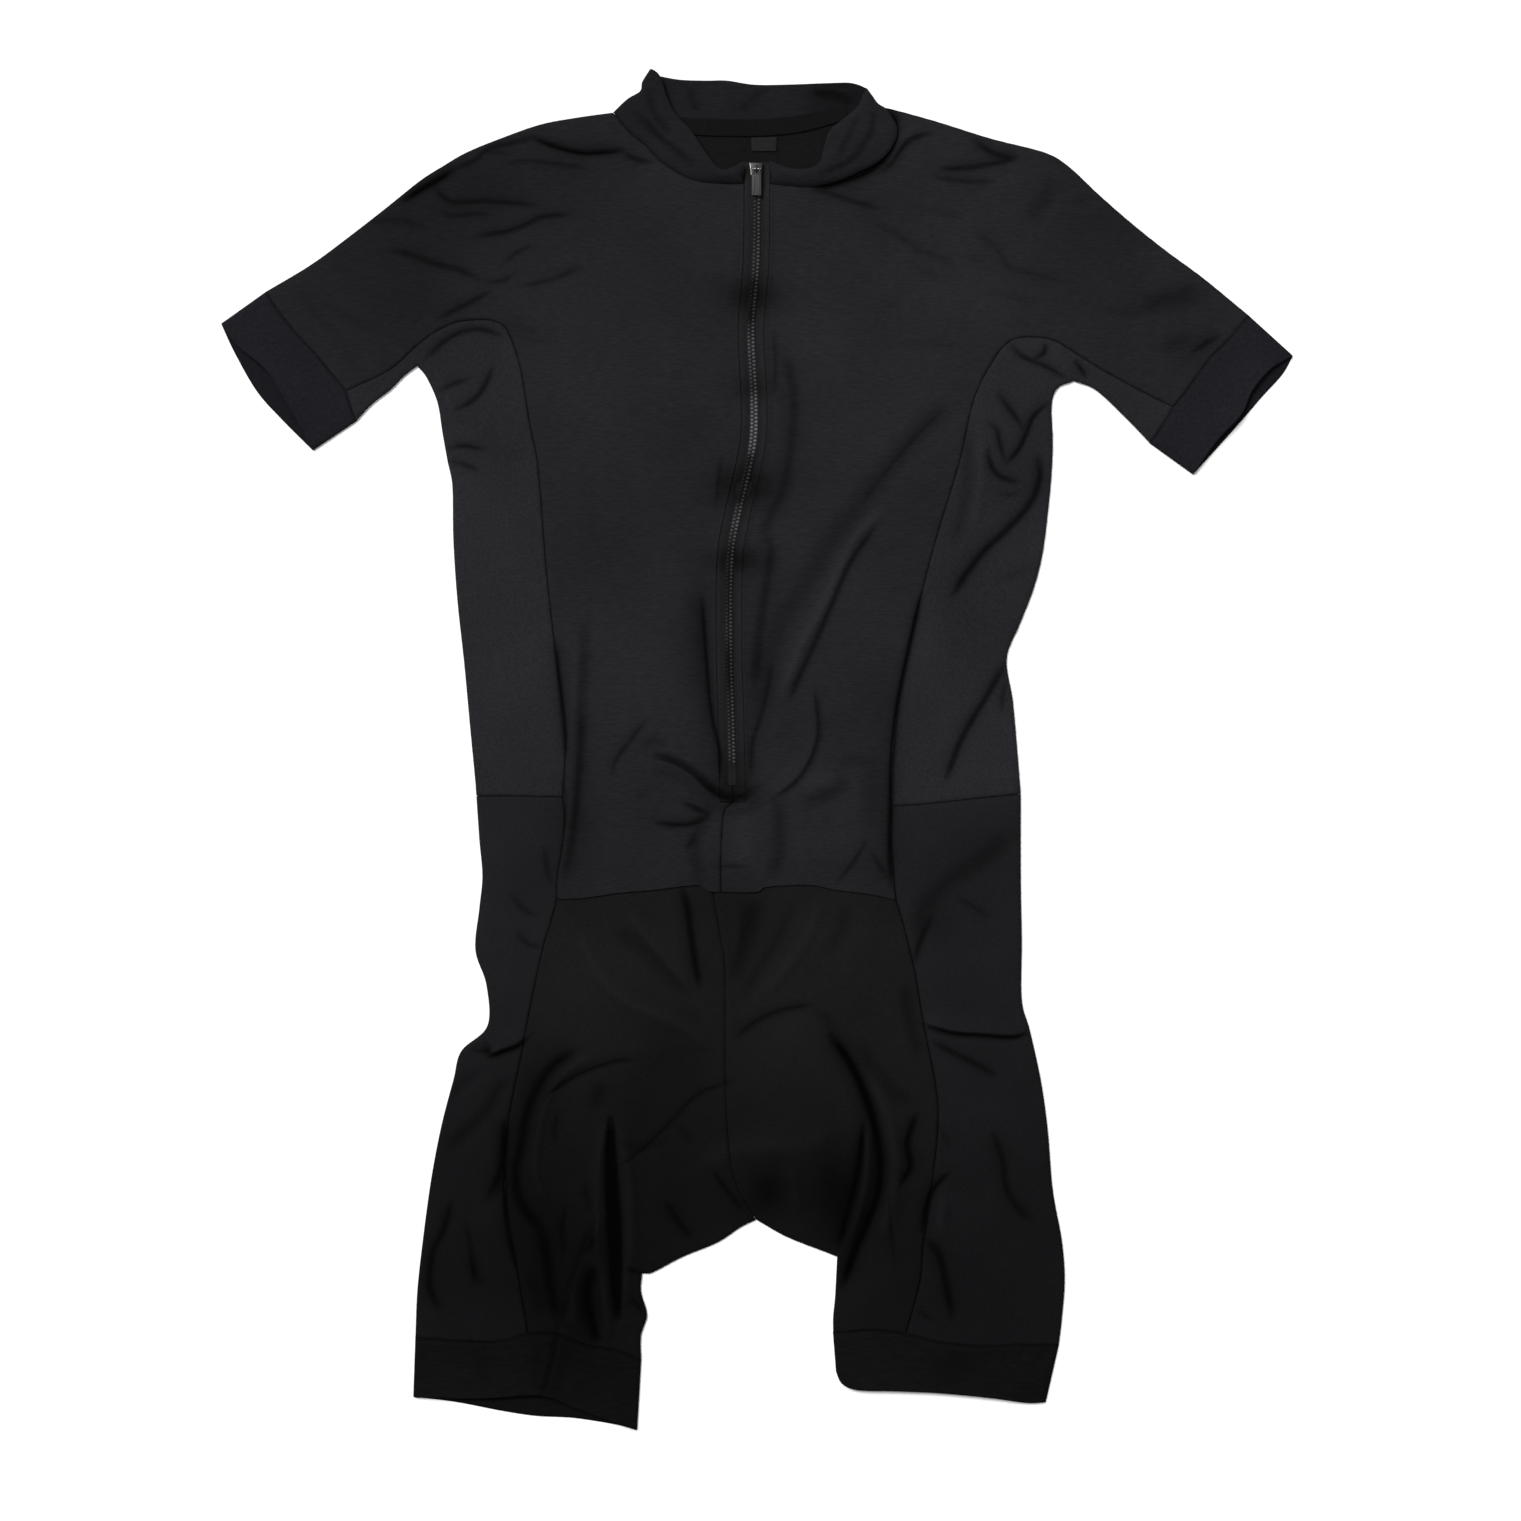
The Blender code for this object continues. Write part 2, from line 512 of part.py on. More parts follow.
# ---------------------------------------------------------------- bands
tube("cuff_left", chain("cuff_a_l", "cuff_b_l"), chain("mouth_front_l"), chain("mouth_back_l"),
     3, CUFF)
tube("cuff_right", chain("cuff_a_r", "cuff_b_r"), chain("mouth_front_r"),
     chain("mouth_back_r"), 3, CUFF)
tube("gripper_left", chain("band_a_l", "band_b_l"), chain("foot_front_l"),
     chain("foot_back_l"), 3, BAND, 18)
tube("gripper_right", chain("band_a_r", "band_b_r"), chain("foot_front_r"),
     chain("foot_back_r"), 3, BAND, 18)

# ---------------------------------------------------------------- back layer
NECK_BACK = smooth_curve([JUNCTION["neck_l"], (645, 116), (681, 119), (740, 121), (775, 120),
                          (830, 117), (862, 112), JUNCTION["neck_r"]], EDGE_STEP)
BACK_WAIST = smooth_curve([(481, 880), (750, 888), (1021, 880)], 40.0)
BACK_MID = smooth_curve([(750, 888), (752, 1000), (754, 1120), JUNCTION["crotch"]], 30.0)


def cut(line, y_chart, above):
    """The part of a side line above or below a chart height."""
    y = (CHART_CENTRE[1] - y_chart) * UNIT
    order = line if line[0, 1] > line[-1, 1] else line[::-1]
    x = np.interp(y, order[::-1, 1], order[::-1, 0])
    if above:
        return np.vstack([order[order[:, 1] > y + 2], [[x, y]]])
    return np.vstack([[[x, y]], order[order[:, 1] < y - 2]])


side_low_l, side_low_r = curve("side_low_l"), curve("side_low_r")
back_l, back_r = cut(side_low_l, 880, True), cut(side_low_r, 880, True)
seat_l, seat_r = cut(side_low_l, 880, False), cut(side_low_r, 880, False)
BACK_WAIST[0], BACK_WAIST[-1] = back_l[-1], back_r[-1]
middle = BACK_WAIST[len(BACK_WAIST) // 2]
BACK_MID[0] = middle

sheet("back", chain("shoulder_l", "cuff_a_l", "cuff_b_l", "under_l", "side_up_l", back_l,
                    BACK_WAIST, back_r[::-1], "-side_up_r", "-under_r", "-cuff_b_r",
                    "-cuff_a_r", "-shoulder_r", NECK_BACK[::-1]),
      flat_height, JERSEY, bottom=lambda p: np.zeros(len(p)), face_step=70.0)
half = len(BACK_WAIST) // 2
sheet("seat_left", chain(seat_l, "band_a_l", "band_b_l", "inner_l", "crotch_l",
                         BACK_MID[::-1], BACK_WAIST[:half + 1][::-1]),
      seat_height, SHORTS, bottom=lambda p: np.zeros(len(p)), face_step=26.0)
sheet("seat_right", chain(seat_r, "band_a_r", "band_b_r", "inner_r", "crotch_r",
                          BACK_MID[::-1], BACK_WAIST[half:]),
      seat_height, SHORTS, bottom=lambda p: np.zeros(len(p)), face_step=26.0)

# ---------------------------------------------------------------- collar
TOP_L = smooth_curve([(650, 69), (660, 77), (667, 97), (676, 115), (691, 131), (706, 153),
                      (720, 170), (732, 168), (745, 162)], 11.0)
TOP_R = smooth_curve([(868, 86), (862, 97), (857, 108), (842, 121), (829, 132), (823, 150),
                      (817, 166), (795, 170), (769, 162)], 11.0)
OUT_L = smooth_curve([JUNCTION["neck_l"], (627, 99), (640, 91), (642, 82), (650, 69)], 8.0)
OUT_R = smooth_curve([(868, 86), (872, 93), (878, 103), JUNCTION["neck_r"]], 8.0)
base_l, base_r = curve("neck_base_l", 11.0), curve("neck_base_r", 11.0)


def collar_height(base, top):
    def height(points):
        a = distance_to(points, base)
        b = distance_to(points, top)
        return EDGE_HEIGHT + LOFT * 0.9 + COLLAR_RISE * (a / np.maximum(a + b, 1e-6)) ** 0.8
    return height


sheet("collar_left", chain("neck_base_l", TOP_L[::-1], OUT_L[::-1]),
      collar_height(base_l, TOP_L), JERSEY, face_step=13.0)
sheet("collar_right", chain("neck_base_r", OUT_R[::-1], TOP_R),
      collar_height(base_r, TOP_R), JERSEY, face_step=13.0)
BACK_TOP = smooth_curve([(652, 74), (679, 79), (706, 80), (727, 80), (754, 84), (787, 84),
                         (846, 82), (864, 86)], 14.0)
BACK_LOW = smooth_curve([(655, 115.4), (681, 117.8), (740, 119.8), (775, 118.8), (830, 115.6),
                         (862, 110.4)], 14.0)
sheet("collar_back", chain(BACK_TOP, BACK_LOW[::-1]), flat_height, JERSEY,
      bottom=lambda p: np.zeros(len(p)), face_step=20.0)
TAPE_TOP = smooth_curve([(664, 112), (681, 117), (740, 119), (775, 118), (805, 114),
                         (838, 108)], 14.0)
TAPE_LOW = smooth_curve([(664, 124), (690, 134), (740, 136), (775, 135), (805, 131),
                         (838, 122)], 14.0)
sheet("neck_tape", chain(TAPE_TOP, TAPE_LOW[::-1]), lambda p: np.full(len(p), 2.5), TAPE,
      wall=1.0, face_step=20.0)
LABEL = smooth_curve([(751, 137.2), (777, 136.6)], 12.0)
LABEL_LOW = smooth_curve([(751, 151), (777, 151)], 12.0)
sheet("neck_label", chain(LABEL, LABEL_LOW[::-1]), lambda p: np.full(len(p), 2.5), TAPE,
      wall=1.0, face_step=20.0)

# ---------------------------------------------------------------- zip


def zip_base(points):
    """Height of the zip's channel: it follows the front, and dips under the slider."""
    base = jersey_height(points)
    y = (CHART_CENTRE[1] - points[:, 1] / UNIT)
    under = 1 - step01(y, 180, 192)
    return base * (1 - under) + 3.2 * under


def tape_height(points):
    return zip_base(points) - 0.9


def chain_height(points):
    return zip_base(points) - 0.1


tape_l = chain(beside_zip(-ZIP_TAPE_HALF, 162, 802),
               beside_zip(-ZIP_CHAIN_HALF, 162, 802)[::-1])
tape_r = chain(beside_zip(ZIP_TAPE_HALF, 162, 802),
               beside_zip(ZIP_CHAIN_HALF, 162, 802)[::-1])
teeth = chain(beside_zip(-ZIP_CHAIN_HALF, 181, 802),
              beside_zip(ZIP_CHAIN_HALF, 181, 802)[::-1])
sheet("zip_tape_left", tape_l, tape_height, TAPE, wall=0.8, face_step=80.0)
sheet("zip_tape_right", tape_r, tape_height, TAPE, wall=0.8, face_step=80.0)
sheet("zip_chain", teeth, chain_height, PLASTIC, wall=1.6, face_step=80.0)

px, py = (to_mm(PIVOT) / 1000).tolist()
pz = PIVOT_Z / 1000


def joined(name, pieces, mat, location):
    """Primitive boxes and rods joined into one body by Boolean unions."""
    objs = []
    for i, (kind, size, at) in enumerate(pieces):
        bm = bmesh.new()
        if kind == "box":
            bmesh.ops.create_cube(bm, size=1.0)
            bmesh.ops.scale(bm, vec=Vector(size) / 1000, verts=bm.verts)
        else:
            bmesh.ops.create_cone(bm, cap_ends=True, segments=16, radius1=size[0] / 1000,
                                  radius2=size[0] / 1000, depth=size[1] / 1000)
            for v in bm.verts:
                v.co = Vector((v.co.z, v.co.y, v.co.x))
            bmesh.ops.recalc_face_normals(bm, faces=bm.faces)
        bmesh.ops.translate(bm, vec=Vector(at) / 1000, verts=bm.verts)
        objs.append(add_object(f"{name}_{i}", bm, mat))
    base = objs[0]
    for other in objs[1:]:
        mod = base.modifiers.new("join", "BOOLEAN")
        mod.operation = "UNION"
        mod.solver = "EXACT"
        mod.object = other
    graph = bpy.context.evaluated_depsgraph_get()
    mesh = bpy.data.meshes.new_from_object(base.evaluated_get(graph))
    for o in objs:
        bpy.data.objects.remove(o, do_unlink=True)
    mesh.name = name
    obj = bpy.data.objects.new(name, mesh)
    obj.location = location
    SUIT.objects.link(obj)
    return obj


# slider: lower plate, upper plate, middle post and the bridge that holds the pin
joined("zip_slider", [
    ("box", (8.8, 11.0, 1.2), (0, -0.4, 3.4 - PIVOT_Z)),
    ("box", (8.6, 10.6, 1.2), (0, -0.4, 6.0 - PIVOT_Z)),
    ("box", (2.4, 3.2, 2.2), (0, 3.0, 4.7 - PIVOT_Z)),
    ("box", (2.0, 0.9, 3.2), (0, 1.9, 7.9 - PIVOT_Z)),
    ("box", (2.0, 0.9, 3.2), (0, -1.9, 7.9 - PIVOT_Z)),
    ("box", (2.0, 4.7, 0.8), (0, 0, 9.7 - PIVOT_Z)),
], METAL, (px, py, pz))
# pull tab: pin through the bridge, two arms, and the grip
joined("pull_tab", [
    ("box", (TAB_WIDTH, TAB_LENGTH, TAB_THICK), (0, -4.2 - TAB_LENGTH / 2, 0)),
    ("box", (1.1, 5.0, 1.2), (2.3, -2.3, 0)),
    ("box", (1.1, 5.0, 1.2), (-2.3, -2.3, 0)),
    ("rod", (0.55, 5.6), (0, 0, 0)),
], PLASTIC, (px, py, pz))
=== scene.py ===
# Looks of the cycling skinsuit laid flat: cloth shells with their folds, seams and stitches,
# zip teeth, slider and pull tab, a pale floor, soft light and a camera from above.
import bpy
import bmesh
import math
import numpy as np
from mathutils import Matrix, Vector, kdtree
from mathutils.geometry import delaunay_2d_cdt


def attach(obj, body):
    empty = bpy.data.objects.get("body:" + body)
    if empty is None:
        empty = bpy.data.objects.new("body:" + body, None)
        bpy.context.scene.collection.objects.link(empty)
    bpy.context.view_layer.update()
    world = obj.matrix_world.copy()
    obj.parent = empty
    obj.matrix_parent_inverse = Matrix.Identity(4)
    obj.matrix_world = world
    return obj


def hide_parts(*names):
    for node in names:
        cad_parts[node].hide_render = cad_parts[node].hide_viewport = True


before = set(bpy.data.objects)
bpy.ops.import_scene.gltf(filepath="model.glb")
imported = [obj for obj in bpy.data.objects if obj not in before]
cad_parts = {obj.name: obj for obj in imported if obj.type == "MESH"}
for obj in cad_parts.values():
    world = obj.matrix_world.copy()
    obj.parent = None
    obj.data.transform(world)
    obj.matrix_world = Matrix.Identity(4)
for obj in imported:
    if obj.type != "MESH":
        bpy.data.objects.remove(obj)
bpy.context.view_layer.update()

# ------------------------------------------------------------------ driving dimensions
UNIT = 1049.0 / 1361.0          # mm per unit of the layout chart
CHART_CENTRE = (757.0, 749.5)   # chart point over the origin (chart y runs down)
STEP = 2.2    # mm, net of the cloth
SEAM_INSET = 0.12               # mm each side of a seam
FINE = 1.25  # mm, net beside narrow creases
FINE_REACH = 4.5
THICK = 0.7                     # mm, shown thickness of the knit
EDGE_HEIGHT = 2.9               # mm, front layer beside its rolled edge
EDGE_LOW = 0.9                  # mm, where the rolled edge ends
ROLL = 3.4                      # mm, width of the rolled edge
LOFT = 1.9
LOFT_REACH = 22.0
PAD_RISE = 10.5
SEAT_PART = 0.55                # how far the seat under the pad rises with it
HEM_LIFT = 1.9
ZIP_TAPE_HALF = 10.0
ZIP_CHAIN_HALF = 3.2
TOOTH_PITCH = 2.9
PIVOT = (756.5, 170.0)
PIVOT_Z = 8.2

# ------------------------------------------------------------------ layout chart
JUNCTION = {
    "neck_l": (613, 112), "neck_r": (885, 107),
    "throat_l": (744, 184), "throat_r": (770, 184),
    "cuff_top_l": (266, 291), "cuff_mid_l": (346, 391), "cuff_low_l": (356, 421),
    "cuff_top_r": (1249, 315), "cuff_mid_r": (1173, 407), "cuff_low_r": (1150, 443),
    "pit_l": (417, 366), "pit_r": (1074, 381),
    "mouth_top_l": (221, 323), "mouth_low_l": (313, 450),
    "mouth_top_r": (1293, 355), "mouth_low_r": (1193, 474),
    "waist_l": (563, 797), "waist_r": (892, 806),
    "waist_out_l": (476, 796), "waist_out_r": (1021, 794),
    "lap_l": (558, 872), "lap_r": (893, 872),
    "hem_l": (557, 899), "hem_r": (896, 900), "hem_mid": (721, 892),
    "zip_end": (733, 802),
    "band_out_l": (415, 1338), "band_mid_l": (528, 1334), "band_in_l": (641, 1361),
    "band_out_r": (1059, 1345), "band_mid_r": (906, 1334), "band_in_r": (833, 1333),
    "leg_l": (642, 1274), "leg_r": (837, 1257), "crotch": (756, 1220),
    "top_mid": (714, 872),
    "foot_out_l": (413, 1397), "foot_in_l": (637, 1430),
    "foot_out_r": (1046, 1402), "foot_in_r": (836, 1372),
}
CURVE = {
    "shoulder_l": ("neck_l", [(577, 117), (540, 124), (500, 138), (466, 152), (442, 166),
                              (420, 180), (385, 208), (349, 236), (311, 264)], "cuff_top_l"),
    "cuff_a_l": ("cuff_top_l", [(277, 309), (296, 333), (318, 357)], "cuff_mid_l"),
    "cuff_b_l": ("cuff_mid_l", [(351, 407)], "cuff_low_l"),
    "under_l": ("cuff_low_l", [(372, 404), (390, 390), (404, 376)], "pit_l"),
    "side_up_l": ("pit_l", [(426, 377), (437, 402), (442, 432), (447, 460), (452, 486),
                            (453, 540), (457, 600), (464, 665), (470, 730), (475, 782)],
                  "waist_out_l"),
    "side_low_l": ("waist_out_l", [(479, 840), (482, 876), (479, 908), (475, 950), (486, 985),
                                   (487, 1026), (461, 1051), (453, 1080), (441, 1126),
                                   (431, 1178), (423, 1236), (417, 1290)], "band_out_l"),
    "seam_up_l": ("cuff_mid_l", [(389, 370), (414, 348), (432, 334), (454, 323), (475, 320),
                                 (493, 321), (507, 330), (520, 366), (530, 425), (538, 466),
                                 (546, 565), (554, 638), (565, 724), (565, 760)], "waist_l"),
    "waist_seam_l": ("waist_l", [(520, 796)], "waist_out_l"),
    "seam_mid_l": ("waist_l", [(565, 820), (562, 850)], "lap_l"),
    "seam_lap_l": ("lap_l", [(557, 885)], "hem_l"),
    "shorts_l": ("hem_l", [(551, 921), (542, 951), (530, 1008), (521, 1056), (508, 1124),
                           (505, 1186), (509, 1228), (518, 1275)], "band_mid_l"),
    "band_a_l": ("band_out_l", [(468, 1341), (500, 1341)], "band_mid_l"),
    "band_b_l": ("band_mid_l", [(557, 1334), (585, 1345), (617, 1351)], "band_in_l"),
    "inner_l": ("band_in_l", [(641, 1336), (647, 1315), (641, 1292)], "leg_l"),
    "crotch_l": ("leg_l", [(652, 1273), (683, 1257), (717, 1243), (740, 1228)], "crotch"),
    "shoulder_r": ("neck_r", [(901, 111), (940, 122), (991, 138), (1045, 152), (1069, 166),
                              (1099, 194), (1131, 222), (1166, 250), (1204, 278)],
                   "cuff_top_r"),
    "cuff_a_r": ("cuff_top_r", [(1229, 339), (1210, 358), (1191, 384)], "cuff_mid_r"),
    "cuff_b_r": ("cuff_mid_r", [(1163, 424)], "cuff_low_r"),
    "under_r": ("cuff_low_r", [(1126, 418), (1096, 390)], "pit_r"),
    "side_up_r": ("pit_r", [(1058, 388), (1052, 404), (1053, 440), (1052, 470), (1049, 504),
                            (1043, 552), (1034, 588), (1020, 624), (1007, 658), (1013, 700),
                            (1017, 744)], "waist_out_r"),
    "side_low_r": ("waist_out_r", [(1021, 880), (1022, 940), (1022, 1000), (1030, 1030),
                                   (1041, 1080), (1048, 1130), (1053, 1190), (1062, 1240),
                                   (1065, 1280), (1062, 1320)], "band_out_r"),
    "seam_up_r": ("cuff_mid_r", [(1143, 392), (1103, 370), (1074, 352), (1053, 340),
                                 (1027, 337), (1009, 342), (994, 359), (974, 399), (960, 460),
                                 (936, 539), (919, 605), (899, 698), (891, 765)], "waist_r"),
    "waist_seam_r": ("waist_r", [(924, 804), (981, 798)], "waist_out_r"),
    "seam_mid_r": ("waist_r", [(891, 840)], "lap_r"),
    "seam_lap_r": ("lap_r", [(894, 886)], "hem_r"),
    "shorts_r": ("hem_r", [(903, 923), (914, 967), (924, 1026), (935, 1081), (938, 1124),
                           (931, 1192), (923, 1249), (920, 1281)], "band_mid_r"),
    "band_a_r": ("band_out_r", [(1018, 1345), (978, 1346), (939, 1342)], "band_mid_r"),
    "band_b_r": ("band_mid_r", [(874, 1330)], "band_in_r"),
    "inner_r": ("band_in_r", [(833, 1317), (835, 1296)], "leg_r"),
    "crotch_r": ("leg_r", [(819, 1250), (803, 1244), (782, 1235)], "crotch"),
    "neck_base_l": ("neck_l", [(629, 132), (646, 146), (664, 164), (693, 180), (722, 184)],
                    "throat_l"),
    "neck_base_r": ("throat_r", [(787, 186), (810, 187), (832, 183), (855, 174), (881, 160),
                                 (895, 142), (897, 126)], "neck_r"),
    "hem_a": ("hem_l", [(584, 898), (618, 893), (653, 890), (698, 885), (707, 891)],
              "hem_mid"),
    "hem_b": ("hem_mid", [(757, 892), (766, 887), (809, 885), (836, 890), (869, 894)],
              "hem_r"),
    "front_mid": ("zip_end", [(724, 812), (721, 852)], "hem_mid"),
    "shorts_mid": ("top_mid", [(714, 898), (721, 939), (725, 967), (725, 1040), (726, 1100),
                               (731, 1163), (739, 1190)], "crotch"),
    "lap_top_l": ("lap_l", [], "top_mid"),
    "lap_top_r": ("top_mid", [], "lap_r"),
    "band_top_l": ("cuff_top_l", [], "mouth_top_l"),
    "band_low_l": ("cuff_low_l", [], "mouth_low_l"),
    "band_top_r": ("cuff_top_r", [], "mouth_top_r"),
    "band_low_r": ("cuff_low_r", [], "mouth_low_r"),
    "mouth_front_l": ("mouth_top_l", [(239, 346), (268, 371), (286, 400), (300, 424)],
                      "mouth_low_l"),
    "mouth_back_l": ("mouth_top_l", [(235, 353), (257, 391), (282, 419)], "mouth_low_l"),
    "mouth_front_r": ("mouth_top_r", [(1270, 369), (1251, 391), (1240, 415), (1216, 441)],
                      "mouth_low_r"),
    "mouth_back_r": ("mouth_top_r", [(1282, 374), (1262, 396), (1238, 424)], "mouth_low_r"),
    "foot_front_l": ("foot_out_l", [(480, 1397), (542, 1394), (573, 1406), (600, 1416)],
                     "foot_in_l"),
    "foot_back_l": ("foot_out_l", [(455, 1402), (502, 1411), (536, 1416), (573, 1418),
                                   (612, 1424)], "foot_in_l"),
    "foot_front_r": ("foot_out_r", [(1025, 1402), (991, 1397), (939, 1392), (892, 1390),
                                    (856, 1389), (842, 1383)], "foot_in_r"),
    "foot_back_r": ("foot_out_r", [(1025, 1400), (991, 1395), (939, 1390), (892, 1388),
                                   (856, 1386), (843, 1380)], "foot_in_r"),
    "leg_out_l": ("band_out_l", [(414, 1368)], "foot_out_l"),
    "leg_in_l": ("band_in_l", [(645, 1385)], "foot_in_l"),
    "leg_out_r": ("band_out_r", [(1054, 1375)], "foot_out_r"),
    "leg_in_r": ("band_in_r", [(833, 1350)], "foot_in_r"),
}
PAD = {"x": 747, "y": 1124, "rx": 98, "ry": 112}

